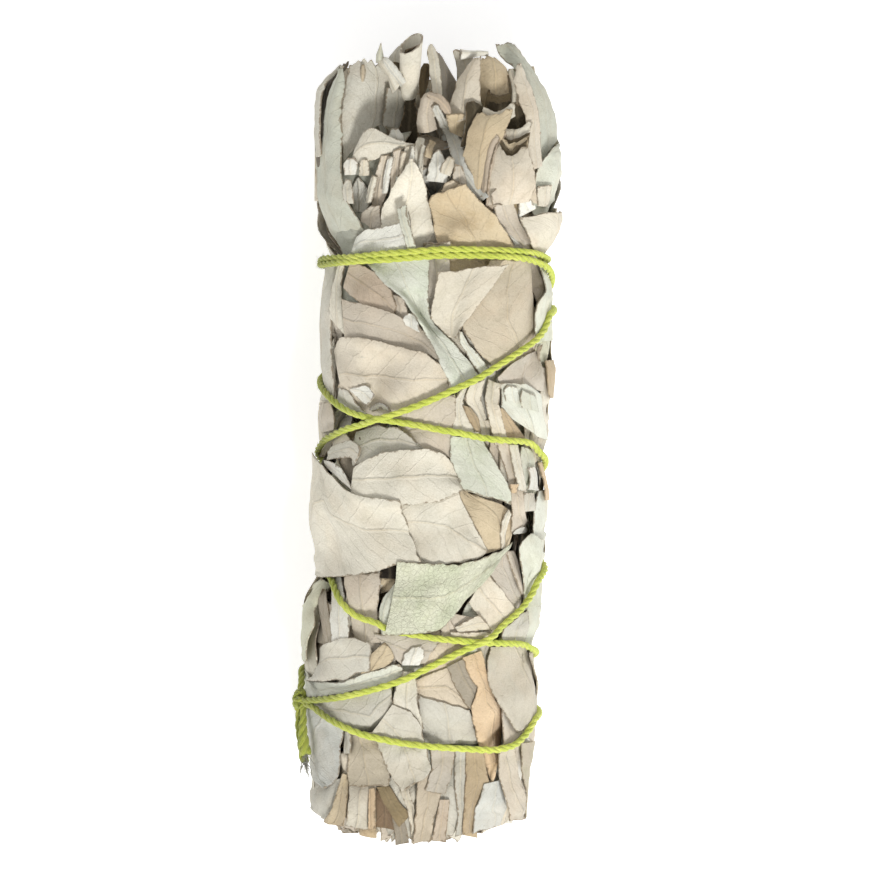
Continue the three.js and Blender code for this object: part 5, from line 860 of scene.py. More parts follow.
def lay_filling(seed, count):
    """Leaves just under the outer ones, all round, but not where a hole goes deep."""
    draw = np.random.RandomState(seed)
    holes = [to_plan(numbers_of(pair)).mean(axis=0) for pair in HOLES.split(";")]
    for k in range(count):
        turn = TURN * ((k * GOLDEN) % 1.0)
        start = -47 + 76 * draw.uniform()
        way = draw.choice([-1, 1])
        end = float(np.clip(start + way * draw.uniform(9, 16), -49.2, 33))
        width = draw.uniform(4, 8)
        if abs(end - start) < 6:
            continue
        x = middle_x(start) + girth(start) * math.sin(turn)
        low, high = min(start, end), max(start, end)
        over_hole = [abs(x - hole[0]) < width / 2 + 1 and low < hole[1] < high for hole in holes]
        if math.cos(turn) > 0 and any(over_hole):
            continue
        grow(draw, turn, start, end, width, draw.choice(GROWN_TONES), lean=draw.uniform(-5, 5),
             fold=draw.uniform(-0.2, 0.4), curl=draw.uniform(0, 0.3), **FILLING_HOW)


def lay_tips(seed, count):
    """Leaves that stand inside the open end, from the middle outwards."""
    draw = np.random.RandomState(seed)
    for k in range(count):
        turn = draw.uniform(0, TURN)
        on_top = math.cos(turn) > 0.2
        highest = 0.42 if on_top else 0.88
        level = 0.12 + (highest - 0.12) * ((k + 0.5) / count) ** 0.6
        end = (39.5 if on_top else 47.5) - 4.5 * level + draw.uniform(-3.5, 1.2)
        node = "leafy_stem_1" if level < 0.35 else None
        # The tips on top stand deep in the open end: dark=0.55 darkens them as painted shade.
        grow(draw, turn, ROOT_AT_AXIS - 14 * level, end, draw.uniform(4, 8.5),
             draw.choice(GROWN_TONES), lean=draw.uniform(-1.5, 1.5), level=level, node=node,
             fold=draw.uniform(-0.6, 0.9), curl=draw.uniform(-0.4, 1.0),
             tip_curl=draw.uniform(-0.8, 0.9), dark=0.55 if on_top else 0.9, **TIP_HOW)


def lay_heart(seed, count):
    """Narrow leaves of the middle stem in the depth of the open end."""
    draw = np.random.RandomState(seed)
    for k in range(count):
        grow(draw, TURN * GOLDEN * k, 14, draw.uniform(31, 42), draw.uniform(2.5, 4.5),
             draw.choice(GROWN_TONES), lean=draw.uniform(-1, 1), level=0.1 + 0.22 * k / count,
             fold=draw.uniform(-0.3, 0.6), curl=draw.uniform(0, 0.8),
             tip_curl=draw.uniform(-0.4, 0.9), **HEART_HOW)


# Where the feet are cut off: x from the axis, y.
FOOT_LINE = np.array([(-14, -47.4), (-12.5, -48.4), (-4.4, -48.8), (-3.6, -50.1), (2.5, -50.1),
                      (6, -49.3), (12, -48)])


def lay_feet(seed, count):
    """Packed leaves whose cut edges show at the foot."""
    draw = np.random.RandomState(seed)
    for k in range(count):
        level = 0.06 + 0.87 * ((k + 0.5) / count) ** 0.62
        turn = draw.uniform(0, TURN)
        x = level * girth(-46) * math.sin(turn)
        end = np.interp(x, FOOT_LINE[:, 0], FOOT_LINE[:, 1]) + draw.uniform(0.1, 1.3)
        node = "leafy_stem_1" if level < 0.33 else None
        grow(draw, turn, -39, end, draw.uniform(3, 8), draw.choice(GROWN_TONES + UNDER_TONES),
             lean=draw.uniform(-1, 1), level=level, node=node, fold=draw.uniform(-0.5, 0.7),
             curl=draw.uniform(-0.3, 0.6), **FOOT_HOW)


def lay_back(seed, count):
    """The leaves on the sides that the camera doesn't see, in no fixed pattern."""
    draw = np.random.RandomState(seed)
    for k in range(count):
        turn = draw.uniform(0.42 * math.pi, 1.58 * math.pi)
        start = -47 + 84 * ((k * GOLDEN) % 1.0)
        way = 1 if draw.uniform() < 0.7 else -1
        end = float(np.clip(start + way * draw.uniform(11, 22), -49.3, 46.5))
        if abs(end - start) < 6:
            continue
        grow(draw, turn, start, end, draw.uniform(6.5, 11), draw.choice(GROWN_TONES),
             lean=draw.uniform(-7, 7), level=0.9 if end > 32 else 0.0,
             fold=draw.uniform(-0.2, 0.3), curl=draw.uniform(-0.1, 0.4), **BACK_HOW)


# ------------------------------------------------------------------ route of the twine
KNOT = (-76 / 360 * TURN, -32.7)        # angle and y
ROUTE_END = ((-1.75, -28.0), (-1.5, -29.6))     # angle short of the full laps, y
ROUTE_STEP = 0.5
LIFT_AT_CROSSING = 0.72         # of the strand that lies on top
CROSSING_WIDTH = 1.7
TWINE_SINKS = 0.2               # into the leaves under it
TWINE_LEAST = 0.75              # how far under the girth it may dip
TWINE_MOST = 1.0                # how far over the girth its middle may stand
TWINE_OFF_FLOOR = 0.15
TIGHTENING = 14                 # steps in which it is pulled straight


def twine_route():
    """Angle and y of the twine at even steps: over the front as drawn, straight on behind."""
    places = [KNOT]
    for lap, text in enumerate(TWINE_TURNS):
        points = to_plan(numbers_of(text))
        q = np.clip((points[:, 0] - middle_x(points[:, 1])) / (girth(points[:, 1]) + 0.7), -1, 1)
        places += [(lap * TURN + math.asin(a), b) for a, b in zip(q, points[:, 1])]
    last = len(TWINE_TURNS) * TURN
    places += [(last + turn, y) for turn, y in (*ROUTE_END, KNOT)]
    flat = np.array(places) * (MEAN_GIRTH, 1)
    at = np.concatenate([[0], np.cumsum(np.hypot(*np.diff(flat, axis=0).T))])
    t = np.arange(0, at[-1], ROUTE_STEP)
    turn = np.interp(t, at, flat[:, 0]) / MEAN_GIRTH
    y = np.interp(t, at, flat[:, 1])
    kernel = np.hanning(9) / np.hanning(9).sum()
    for field in (turn, y):
        field[4:-4] = np.convolve(field, kernel, "valid")
    return turn, y


def smoothed_route(turn, y):
    """Evens out the route where the twine passes round the sides and underneath."""
    turn, y = turn.copy(), y.copy()
    for _ in range(60):
        share = 0.5 * eased(-np.cos(turn[1:-1]), -0.22, 0.08)
        for line in (turn, y):
            line[1:-1] += share * ((line[:-2] + line[2:]) / 2 - line[1:-1])
    return turn, y


def lay_twine(turn, y):
    """Distance of the twine's centre from the axis: it is pulled tight over the leaves."""
    radius = TWINE_DIAMETER / 2
    least = np.zeros_like(turn)
    for off in (-0.3, 0.0, 0.3):
        least = np.maximum(least, ground_at(turn, y + off))
    least = np.maximum(least, girth(y) - TWINE_LEAST) + radius - TWINE_SINKS
    r = least.copy()
    for _ in range(TIGHTENING):
        r[1:-1] = np.maximum((r[:-2] + 2 * r[1:-1] + r[2:]) / 4, least[1:-1])
    for _ in range(8):
        r[1:-1] = (r[:-2] + 2 * r[1:-1] + r[2:]) / 4
    along = np.arange(len(turn)) * ROUTE_STEP
    humps = np.zeros_like(r)
    for k in crossings(turn, y):
        hump = LIFT_AT_CROSSING * np.exp(-((along - along[k]) / CROSSING_WIDTH) ** 2)
        humps = np.maximum(humps, hump)
    floor = (AXIS_HEIGHT - radius - TWINE_OFF_FLOOR) / np.maximum(-np.cos(turn), 0.3)
    return np.minimum(np.minimum(r, girth(y) + TWINE_MOST) + humps, floor)


def mark_route(route, r):
    """Raises the relief along the twine, for the leaves that lie over it."""
    turn, y = route
    radius = TWINE_DIAMETER / 2
    for off in np.linspace(-radius, radius, 7):
        top = r + np.sqrt(max(radius ** 2 - off ** 2, 0))
        np.maximum.at(relief, cells(turn, y + off), top)
        np.maximum.at(relief, cells(turn + off / MEAN_GIRTH, y), top)


def crossings(turn, y):
    """Steps of the route that a later lap crosses: there this strand lies on top."""
    flat = np.stack([turn * MEAN_GIRTH, y], axis=1)
    found = []
    for lap in range(1, len(TWINE_TURNS) + 1):
        for k in range(0, len(turn) - 2, 2):
            gap = flat - (flat[k] + (lap * TURN * MEAN_GIRTH, 0))
            n = int(np.argmin(np.hypot(gap[:, 0], gap[:, 1])))
            if np.hypot(*gap[n]) > 0.5 or n <= k + 10 or n >= len(turn) - 3:
                continue
            one = flat[k + 2] - flat[k]
            two = flat[n + 2] - flat[n]
            sine = (one[0] * two[1] - one[1] * two[0]) / (np.hypot(*one) * np.hypot(*two))
            if abs(sine) > 0.2:
                found.append(k)
    return found


# ------------------------------------------------------------------ settling to the girth
HELD = (-45, 25)                # y where the pile is brought to the girth
SETTLES_TO = (22, 32)           # y where that ends
SLACK_FROM = (27, 33)           # -y from where a low spot is raised
SLACK = 0.45                    # how low a spot may lie
MOST_OVER = 0.9
PRESSED_TO = (20, 34)
PRESSED_FROM = (-50, -44)
FREE_FROM = (26, 32)            # y from where free leaves keep their place


def box_blur(field, spread, along):
    """Evens out a field over so many cells each way."""
    for _ in range(2):
        rolled = [np.roll(field, d, axis=0) for d in range(-spread, spread + 1)]
        field = sum(rolled) / (2 * spread + 1)
        padded = np.pad(field, ((0, 0), (along, along)), mode="edge")
        field = sum(padded[:, d:d + LONG] for d in range(2 * along + 1)) / (2 * along + 1)
    return field


def widened(field, spread, along):
    """The highest value within so many cells each way."""
    best = field
    for d in range(-spread, spread + 1):
        best = np.maximum(best, np.roll(field, d, axis=0))
    padded = np.pad(best, ((0, 0), (along, along)), mode="edge")
    out = best
    for d in range(2 * along + 1):
        out = np.maximum(out, padded[:, d:d + LONG])
    return out


def settle_fields(pile, route):
    """Over the relief: the pile's skin, how far it moves, and how much it is pressed flat."""
    skin = box_blur(widened(pile, 7, 7), 12, 12)
    down = -np.cos(cell_turn)[:, None]
    flat = np.where(down > 0.5, AXIS_HEIGHT / np.maximum(down, 0.5) + 0.05, 99)
    held = np.clip(cell_y, *HELD)
    target = np.minimum(girth(held)[None, :], flat)
    held_cell = np.clip(((held - FROM) / CELL).astype(int), 0, LONG - 1)
    fade = 1 - eased(cell_y, *SETTLES_TO)
    move = (target - skin[:, held_cell]) * fade
    over = skin + move - np.minimum(girth(cell_y)[None, :] + MOST_OVER, flat)
    move = np.where(cell_y > HELD[1], move - np.maximum(over, 0), move)
    move = box_blur(move, 6, 6)
    lacking = np.clip(target - SLACK - box_blur(pile, 3, 3)[:, held_cell] - move, 0, 3)
    move = move + box_blur(lacking * eased(-cell_y, *SLACK_FROM), 2, 2)
    near = distance_from(route)
    depth = PINCH_FRONT + (PINCH_ASIDE - PINCH_FRONT) * eased(down, -0.9, -0.3)
    depth = depth + (PINCH_BELOW - PINCH_ASIDE) * eased(down, 0.1, 0.8)
    move = move - depth * np.exp(-0.5 * (near / PINCH_WIDTH) ** 2)
    pressed = PRESSED * (1 - eased(cell_y, *PRESSED_TO)) * eased(cell_y, *PRESSED_FROM) + 0 * skin
    return skin, move, pressed


def distance_from(route, reach=6):
    """Distance of every cell from the twine's line, in mm, up to the reach."""
    near = np.full((ROUND, LONG), 99.0)
    a, b = cells(*route)
    cell_width = TURN * MEAN_GIRTH / ROUND
    across, along = int(reach / cell_width), int(reach / CELL)
    da = np.arange(-across, across + 1)
    db = np.arange(-along, along + 1)
    gap = np.hypot(da[:, None] * cell_width, db[None, :] * CELL)
    for i, j in zip(a, b):
        rows = (i + da) % ROUND
        lo, hi = max(j - along, 0), min(j + along + 1, LONG)
        near[rows, lo:hi] = np.minimum(near[rows, lo:hi], gap[:, lo - j + along:hi - j + along])
    return near


def field_at(field, turn, y):
    """Values of a field at points between its cells."""
    a = turn / TURN % 1.0 * ROUND - 0.5
    b = np.clip((y - FROM) / CELL - 0.5, 0, LONG - 1.001)
    i = np.floor(a).astype(int)
    j = np.floor(b).astype(int)
    s, t = a - i, b - j
    i0, i1 = i % ROUND, (i + 1) % ROUND
    return ((field[i0, j] * (1 - s) + field[i1, j] * s) * (1 - t)
            + (field[i0, j + 1] * (1 - s) + field[i1, j + 1] * s) * t)


def widened_turn(turn, y, r):
    """The angle that keeps a leaf's x where the plan has it, once it lies inside the girth."""
    sine = np.clip(np.sin(turn) * girth(y) / np.maximum(r, 3), -0.95, 0.95)
    kept = np.where(np.cos(turn) > 0, np.arcsin(sine), turn)
    near = eased(np.cos(turn), 0.25, 0.6)
    wrapped = np.mod(turn + math.pi, TURN) - math.pi
    return turn + near * (np.where(np.cos(turn) > 0, kept - wrapped, 0))


def settle_leaves(settle):
    """Moves every leaf to its place in the tied stick, and makes the relief of that."""
    turn, y = np.meshgrid(cell_turn, cell_y, indexing="ij")
    core = girth(y) * np.interp(y, CORE[:, 0], CORE[:, 1])
    relief[:] = settled(settle, turn, y, core)
    for leaf in leaves:
        moved = settled(settle, leaf["turn"], leaf["y"], leaf["r"], leaf["proud"])
        stays = eased(leaf["y"], *FREE_FROM) * leaf.get("free", 0.0)
        leaf["r"] = moved + (leaf["r"] - moved) * stays
        if leaf["flat"]:
            leaf["turn"] = widened_turn(leaf["turn"], leaf["y"], leaf["r"])
        mark(leaf["turn"], leaf["y"], leaf["r"])


def settled(fields, turn, y, r, proud=0.5):
    """How far from the axis a point of the pile lies once the stick is tied."""
    skin, move, pressed = (field_at(field, turn, y) for field in fields)
    above = r - skin
    pressing = pressed * PRESSED_DEPTH * np.tanh(above / PRESSED_DEPTH)
    share = np.clip((r - 3) / 8, 0, 1)
    proud = proud * (1 - 0.8 * eased(-y, 26, 31))
    r = np.minimum(r + share * (move - pressing), girth(y) + proud)
    return np.minimum(r, (AXIS_HEIGHT - 0.2) / np.maximum(-np.cos(turn), 0.3))


# ------------------------------------------------------------------ leaves that stand free
def spline_steps(points, counts):
    """Points on a smooth line through each row's points along the first axis."""
    ends = np.concatenate([2 * points[:1] - points[1:2], points, 2 * points[-1:] - points[-2:-1]])
    t = np.linspace(0, len(points) - 1, counts)
    k = np.minimum(t.astype(int), len(points) - 2)
    s = (t - k).reshape((-1,) + (1,) * (points.ndim - 1))
    return spline(ends[k], ends[k + 1], ends[k + 2], ends[k + 3], s)


def lay_free(grid, tone, draw, dark=1.0, net=1.0, wave=0.05, node=None):
    """A leaf given by a grid of points x, y, height over the axis, in mm."""
    across, down = measured(grid)
    across = across - across[:, -1:] / 2
    beside = grid[..., 0] - middle_x(grid[..., 1])
    turn = np.arctan2(beside, grid[..., 2])
    y = grid[..., 1]
    r = np.hypot(beside, grid[..., 2]) + wave * waves(draw, across, down, 2.5)
    mark(np.unwrap(turn, axis=1), y, r)
    v = np.linspace(-1, 1, grid.shape[1])[None, :] + 0 * turn
    leaves.append(dict(
        turn=turn, y=y, r=r, proud=0.9, flat=0.0, free=1.0, net=net,
        node=node or stem_at(np.arctan2(beside.mean(), grid[..., 2].mean())),
        tone=linear(tone) * dark, seed=draw.uniform(0, 100),
        half=BLADE / 2 * (0.6 + 0.4 * (1 - v ** 8))))


BUD_FROM, BUD_TO = 31.0, 44.5   # y


def lay_bud(seed, count):
    """Small leaves of the middle stem that close round the axis in the depth of the open end."""
    draw = np.random.RandomState(seed)
    u = np.linspace(0, 1, 24)[:, None]
    v = np.linspace(-1, 1, 10)[None, :]
    for k in range(count):
        t = (k + 0.5) / count
        turn = TURN * GOLDEN * k + draw.uniform(-0.3, 0.3)
        half = draw.uniform(1.3, 2.2) * np.maximum(np.sin(math.pi * (0.2 + 0.74 * u)) ** 0.8, 0.1)
        out = 0.4 + 3.4 * t + draw.uniform(-0.5, 1.3) * u ** 3
        out = out + draw.uniform(-0.9, 0.2) * v * v + draw.uniform(0, 0.7) * np.abs(v)
        out = out + 0.35 * waves(draw, half * v, 12 * u + 0 * v, 2.2)
        y = BUD_FROM + (BUD_TO - 3.5 * t + draw.uniform(-1.5, 0.8) - BUD_FROM) * u + 0 * v
        y = y + 0.3 * waves(draw, half * v, 0 * v + 0 * u, 1.0) * u ** 6
        x = middle_x(y) + out * math.sin(turn) + half * v * math.cos(turn)
        height = out * math.cos(turn) - half * v * math.sin(turn)
        # dark=0.62: painted shade for the depth in which these leaves stand.
        lay_free(np.stack([x, y, height], axis=-1), draw.choice(GROWN_TONES), draw,
                 dark=0.62, node="leafy_stem_1")


def lay_sheets(table, seed):
    """Lays the leaves that stand free at the open end."""
    draw = np.random.RandomState(seed)
    for _, tone, how, points in rows_of(table):
        grid = to_plan(np.array([numbers_of(line) for line in points.split("/")]))
        long = np.linalg.norm(np.diff(grid.mean(axis=1), axis=0), axis=1).sum()
        wide = np.linalg.norm(np.diff(grid, axis=1), axis=2).sum(axis=1).max()
        m, n = int(max(long / STEP, 6)) + 1, int(max(wide / STEP, 4)) + 1
        grid = spline_steps(grid, m)
        grid = spline_steps(grid.transpose(1, 0, 2), n).transpose(1, 0, 2)
        a, b = grid[:, 0, :2].copy(), grid[:, -1, :2].copy()
        rough_a, rough_b = ragged(a, b, np.hypot(*(b - a).T), draw, min(0.07, 0.02 * wide))
        v = np.linspace(0, 1, n)[None, :, None]
        grid[..., :2] += (rough_a - a)[:, None] * (1 - v) + (rough_b - b)[:, None] * v
        at_tip = np.linspace(0, 1, m)[:, None] ** 12
        across = v[..., 0] * wide
        grid[..., 1] += at_tip * min(0.22, 0.05 * wide) * waves(draw, across, 0 * across, 0.7)
        lay_free(grid, tone, draw, **settings_of(how))


ROLL_ROWS, ROLL_SIDES = 40, 44


def lay_rolls(table, seed):
    """Lays the leaves that are rolled into a tube."""
    draw = np.random.RandomState(seed)
    for _, tone, path, turns in rows_of(table):
        start, end, cut, slant = (float(number) for number in turns.split())
        fine = spline_steps(numbers_of(path), ROLL_ROWS)
        centre = to_plan(fine[:, :3])
        around = np.radians(np.linspace(start, end, ROLL_SIDES))[None, :]
        t = np.linspace(0, 1, len(fine))[:, None] ** 3
        ahead = centre[-1] - centre[-6]
        ahead = ahead / np.linalg.norm(ahead)
        aside = np.array([ahead[1], -ahead[0], 0]) / math.hypot(ahead[0], ahead[1])
        grow_in = 1 - 0.12 * (around - around.min()) / (around.max() - around.min())
        short = cut * (1 + np.cos(around)) / 2 - slant * np.sin(around)
        grid = (centre[:, None] + (fine[:, 3:4] * np.sin(around) * grow_in)[..., None] * aside
                + (fine[:, 4:5] * np.cos(around) * grow_in)[..., None] * np.array([0, 0, 1.0])
                - t[..., None] * short[..., None] * ahead)
        lay_free(grid, tone, draw, wave=0.03)


# ------------------------------------------------------------------ woody stems at the foot
STEM_RADIUS = 1.15
STEM_AT = 7.2                   # from the axis
STEM_FROM, STEM_TO = -38.0, -49.6


def stem_axes():
    """Node, angle and distance from the axis of each woody stem."""
    yield "leafy_stem_1", 0.0, 0.0
    for k in range(SECTORS):
        yield "leafy_stem_%d" % (k + 2), k * TURN / SECTORS, STEM_AT


def mark_stems():
    """Raises the relief to the stems, so that the leaves lie over them."""
    rows = (cell_y > STEM_TO - 0.6) & (cell_y < STEM_FROM)
    for _, turn, at in stem_axes():
        off = np.mod(cell_turn - turn + math.pi, TURN) - math.pi
        beside = at * np.sin(off)
        top = at * np.cos(off) + np.sqrt(np.maximum(STEM_RADIUS ** 2 - beside ** 2, 0))
        top = np.where((np.abs(beside) < STEM_RADIUS) & (np.cos(off) > 0), top, 0)
        if at == 0:
            top = np.full(ROUND, STEM_RADIUS)
        relief[:, rows] = np.maximum(relief[:, rows], top[:, None])


# ------------------------------------------------------------------ meshes
FAR_FROM_EDGE = 9.0             # for shapes that have no dark rim of brown margin and painted edge shadow


class Body:
    """Closed shapes gathered for one piece, with what its material reads at each point."""

    def __init__(self):
        self.points, self.faces, self.sharp = [], [], []
        self.tone, self.place, self.edge = [], [], []
        self.count = 0

    def add(self, points, faces, tone, place=None, edge=None, sharp=None, net=1.0):
        """Takes in one shape; tone and net go to its colour, place and edge to its pattern."""
        k = len(points)
        self.points.append(points)
        self.faces.append(faces + self.count)
        self.tone.append(np.broadcast_to([*tone, net], (k, 4)))
        self.place.append(points if place is None else place)
        self.edge.append(np.full(k, FAR_FROM_EDGE) if edge is None else edge)
        self.sharp.append(np.zeros(len(faces), bool) if sharp is None else sharp)
        self.count += k

    def piece(self, name, material):
        """Makes the Blender object, with hard edges where a blade's rim meets its faces."""
        points = np.concatenate(self.points) * MM
        points[:, 2] = np.maximum(points[:, 2], 0)
        faces = np.concatenate(self.faces)
        rim = np.concatenate(self.sharp)
        mesh = bpy.data.meshes.new(name)
        mesh.vertices.add(len(points))
        mesh.vertices.foreach_set("co", points.astype(np.float32).ravel())
        mesh.loops.add(faces.size)
        mesh.loops.foreach_set("vertex_index", faces.astype(np.int32).ravel())
        mesh.polygons.add(len(faces))
        mesh.polygons.foreach_set("loop_start", np.arange(len(faces), dtype=np.int32) * 4)
        mesh.update(calc_edges=True)
        mesh.polygons.foreach_set("use_smooth", np.ones(len(faces), bool))
        loops = np.empty(len(mesh.loops), np.int32)
        mesh.loops.foreach_get("edge_index", loops)
        loops = loops.reshape(-1, 4)
        on_rim = np.zeros(len(mesh.edges), bool)
        on_face = np.zeros(len(mesh.edges), bool)
        on_rim[loops[rim].ravel()] = True
        on_face[loops[~rim].ravel()] = True
        sharp = mesh.attributes.new("sharp_edge", "BOOLEAN", "EDGE")
        sharp.data.foreach_set("value", on_rim & on_face)
        for layer, kind, field, values in (("tone", "FLOAT_COLOR", "color", self.tone),
                                           ("leaf", "FLOAT_VECTOR", "vector", self.place),
                                           ("edge", "FLOAT", "value", self.edge)):
            values = np.concatenate(values).astype(np.float32).ravel()
            mesh.attributes.new(layer, kind, "POINT").data.foreach_set(field, values)
        mesh.materials.append(material)
        piece = bpy.data.objects.new(name, mesh)
        bpy.context.scene.collection.objects.link(piece)
        return piece


def grid_faces(m, n, offset=0):
    """Quads of a grid of m rows of n points."""
    i, j = np.meshgrid(np.arange(m - 1), np.arange(n - 1), indexing="ij")
    a = (i * n + j).ravel() + offset
    return np.stack([a, a + 1, a + n + 1, a + n], axis=1)


def rim_faces(m, n):
    """Quads that join the margins of an upper grid to those of the lower grid after it."""
    ring = np.concatenate([
        np.arange(n), np.arange(1, m) * n + n - 1, (m - 1) * n + np.arange(n - 2, -1, -1),
        np.arange(m - 2, 0, -1) * n])
    after = np.roll(ring, -1)
    under = m * n
    return np.stack([after, ring, ring + under, after + under], axis=1)


def add_leaf(body, leaf):
    """A thin closed blade round the leaf's grid."""
    turn, y, r = leaf["turn"], leaf["y"], leaf["r"]
    middle = to_space(turn, y, r)
    across = np.gradient(middle, axis=1)
    down = np.gradient(middle, axis=0)
    normal = np.cross(down, across)
    normal /= np.maximum(np.linalg.norm(normal, axis=2, keepdims=True), 1e-9)
    radial = np.stack([np.sin(turn), 0 * turn, np.cos(turn)], axis=-1)
    outward = np.sum(normal * radial) > 0
    if not outward:
        normal = -normal
    half = leaf["half"][..., None]
    m, n = turn.shape
    points = np.concatenate([(middle + normal * half).reshape(-1, 3),
                             (middle - normal * half).reshape(-1, 3)])
    upper, lower, rim = grid_faces(m, n), grid_faces(m, n, m * n)[:, ::-1], rim_faces(m, n)
    faces = np.concatenate([upper, lower, rim])
    if outward:
        faces = faces[:, ::-1]
    wide, long = measured(middle)
    beside = wide - wide[:, -1:] / 2
    place = np.stack([beside, long, 0 * turn + leaf["seed"]], axis=-1).reshape(-1, 3)
    edge = np.minimum(wide[:, -1:] / 2 - np.abs(beside), long[-1] - long).ravel()
    sharp = np.zeros(len(faces), bool)
    sharp[len(upper) + len(lower):] = True
    body.add(points, faces, leaf["tone"], np.concatenate([place, place]),
             np.concatenate([edge, edge]), sharp, leaf["net"])


def add_loft(body, rings, tone, place=None):
    """A closed loft through rings of points, with its two ends drawn in to their middles."""
    rings = np.asarray(rings)
    for end in (0, -1):
        middle = rings[end].mean(axis=0)
        closing = middle + (rings[end] - middle) * 0.02
        rings = np.concatenate([closing[None], rings] if end == 0 else [rings, closing[None]])
    m, n = rings.shape[:2]
    i, j = np.meshgrid(np.arange(m - 1), np.arange(n), indexing="ij")
    a = (i * n + j).ravel()
    b = (i * n + (j + 1) % n).ravel()
    faces = np.stack([a, b, b + n, a + n], axis=1)
    half = n // 2
    caps = [np.array([k, k + 1, n - 2 - k, n - 1 - k]) for k in range(half - 1)]
    first, last = [cap[::-1] for cap in caps], [cap + (m - 1) * n for cap in caps]
    faces = np.concatenate([faces, first, last])
    points = rings.reshape(-1, 3)
    a, b, c, d = (points[faces[:, k]] for k in range(4))
    if np.sum(a * np.cross(b, c)) + np.sum(a * np.cross(c, d)) < 0:
        faces = faces[:, ::-1]
    body.add(points, faces, tone, place)


CORE_FROM, CORE_TO, CORE_ROWS = -45.5, 38.5, 80
CORE_GAP = 0.03                 # angle left free between two wedges
CORE_SIDES = 10
ROD_SIDES = 24
ROD_RADIUS = 4.2


def add_core(body, sector, settle):
    """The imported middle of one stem: a wedge, or a rod for the stem in the heart."""
    y = np.linspace(CORE_FROM, CORE_TO, CORE_ROWS)
    packed = girth(y) * np.interp(y, CORE[:, 0], CORE[:, 1])
    rings = []
    if sector == 1:
        around = np.linspace(0, TURN, ROD_SIDES, endpoint=False)
        for v, radius in zip(y, packed):
            rings.append(to_space(around, np.full(ROD_SIDES, v),
                                  np.full(ROD_SIDES, 0.9 * min(ROD_RADIUS, radius))))
        # The middle is near-black: painted shade of the depth.
        add_loft(body, rings, linear("dark"))
        return
    middle = (sector - 2) * TURN / SECTORS
    arc = np.linspace(-0.5, 0.5, CORE_SIDES) * (TURN / SECTORS - CORE_GAP) + middle
    turn = np.concatenate([arc, arc[::-1]])
    for v, radius in zip(y, packed):
        r = settled(settle, arc, np.full(CORE_SIDES, v), np.full(CORE_SIDES, radius - 0.2))
        inner = np.minimum(HEART_RADIUS * 0.95, r * 0.6)
        rings.append(to_space(turn, np.full(len(turn), v), np.concatenate([r, inner[::-1]])))
    # The middle is near-black: painted shade of the depth.
    add_loft(body, rings, linear("dark"))


STEM_SIDES, STEM_ROWS = 20, 18


def add_stem(body, turn, at, draw):
    """A woody stem, slightly ridged and cut a little aslant at the foot."""
    around = np.linspace(0, TURN, STEM_SIDES, endpoint=False)
    cut = draw.uniform(-0.25, 0.25, 2)
    beside = at * math.sin(turn) + CENTRE_SHIFT[0]
    above = AXIS_HEIGHT + at * math.cos(turn)
    rings = []
    for t in np.linspace(0, 1, STEM_ROWS):
        y = STEM_FROM + (STEM_TO - STEM_FROM) * t
        ridges = 0.93 + 0.05 * np.sin(3 * around + turn) + 0.03 * np.sin(7 * around + 5 * t)
        x = STEM_RADIUS * ridges * np.cos(around)
        z = STEM_RADIUS * ridges * np.sin(around)
        tilt = t ** 8 * (cut[0] * x + cut[1] * z)
        rings.append(np.stack([middle_x(y) + beside + x, y + tilt + CENTRE_SHIFT[1], above + z],
                              axis=-1))
    add_loft(body, rings, linear("tan_brown"))


# ------------------------------------------------------------------ the twine
PLY_RADIUS = 0.235
PLY_AT = 0.21                   # from the middle of the cord
PLY_STEP = 0.3
PLY_SIDES = 8


def smooth_path(points, step):
    """A smooth path through a few points, in steps of the given length."""
    points = np.asarray(points, float)
    a = np.concatenate([[2 * points[0] - points[1]], points, [2 * points[-1] - points[-2]]])
    out = []
    for k in range(1, len(a) - 2):
        count = max(int(np.linalg.norm(a[k + 1] - a[k]) / step), 1)
        t = np.linspace(0, 1, count, endpoint=False)[:, None]
        out.append(spline(a[k - 1], a[k], a[k + 1], a[k + 2], t))
    out.append(points[-1:])
    return np.concatenate(out)


def run_along(path):
    """Length of the path up to each of its points."""
    return np.concatenate([[0], np.cumsum(np.linalg.norm(np.diff(path, axis=0), axis=1))])


def even_path(path, step):
    """The path in even steps, and the length up to each."""
    at = run_along(path)
    t = np.linspace(0, at[-1], max(int(at[-1] / step), 2) + 1)
    return np.stack([np.interp(t, at, path[:, k]) for k in range(3)], axis=1), t


def frames_along(path, outward):
    """At each step: the direction, and two directions across it that don't spin."""
    ahead = np.gradient(path, axis=0)
    ahead /= np.linalg.norm(ahead, axis=1, keepdims=True)
    side = np.cross(ahead, outward)
    side /= np.maximum(np.linalg.norm(side, axis=1, keepdims=True), 1e-9)
    return ahead, side, np.cross(side, ahead)


def out_of_axis(path):
    """Direction from the stick's axis to each point."""
    out = path - np.stack([middle_x(path[:, 1]) + CENTRE_SHIFT[0], path[:, 1],
                           np.full(len(path), AXIS_HEIGHT)], axis=1)
    return out / np.maximum(np.linalg.norm(out, axis=1, keepdims=True), 1e-9)


def add_tube(body, path, radius, tone, sides=PLY_SIDES, seed=0.0):
    """A round strand; its seed sets its pattern apart from the next one's."""
    _, side, up = frames_along(path, out_of_axis(path))
    radius = np.broadcast_to(radius, len(path))
    around = np.linspace(0, TURN, sides, endpoint=False)
    spokes = (np.cos(around)[None, :, None] * side[:, None]
              + np.sin(around)[None, :, None] * up[:, None])
    rings = path[:, None] + radius[:, None, None] * spokes
    at = np.pad(run_along(path), 1, mode="edge")
    place = np.stack([np.broadcast_to(around, (len(at), sides)),
                      np.broadcast_to(at[:, None], (len(at), sides)),
                      np.full((len(at), sides), seed)], axis=-1).reshape(-1, 3)
    add_loft(body, rings, tone, place)


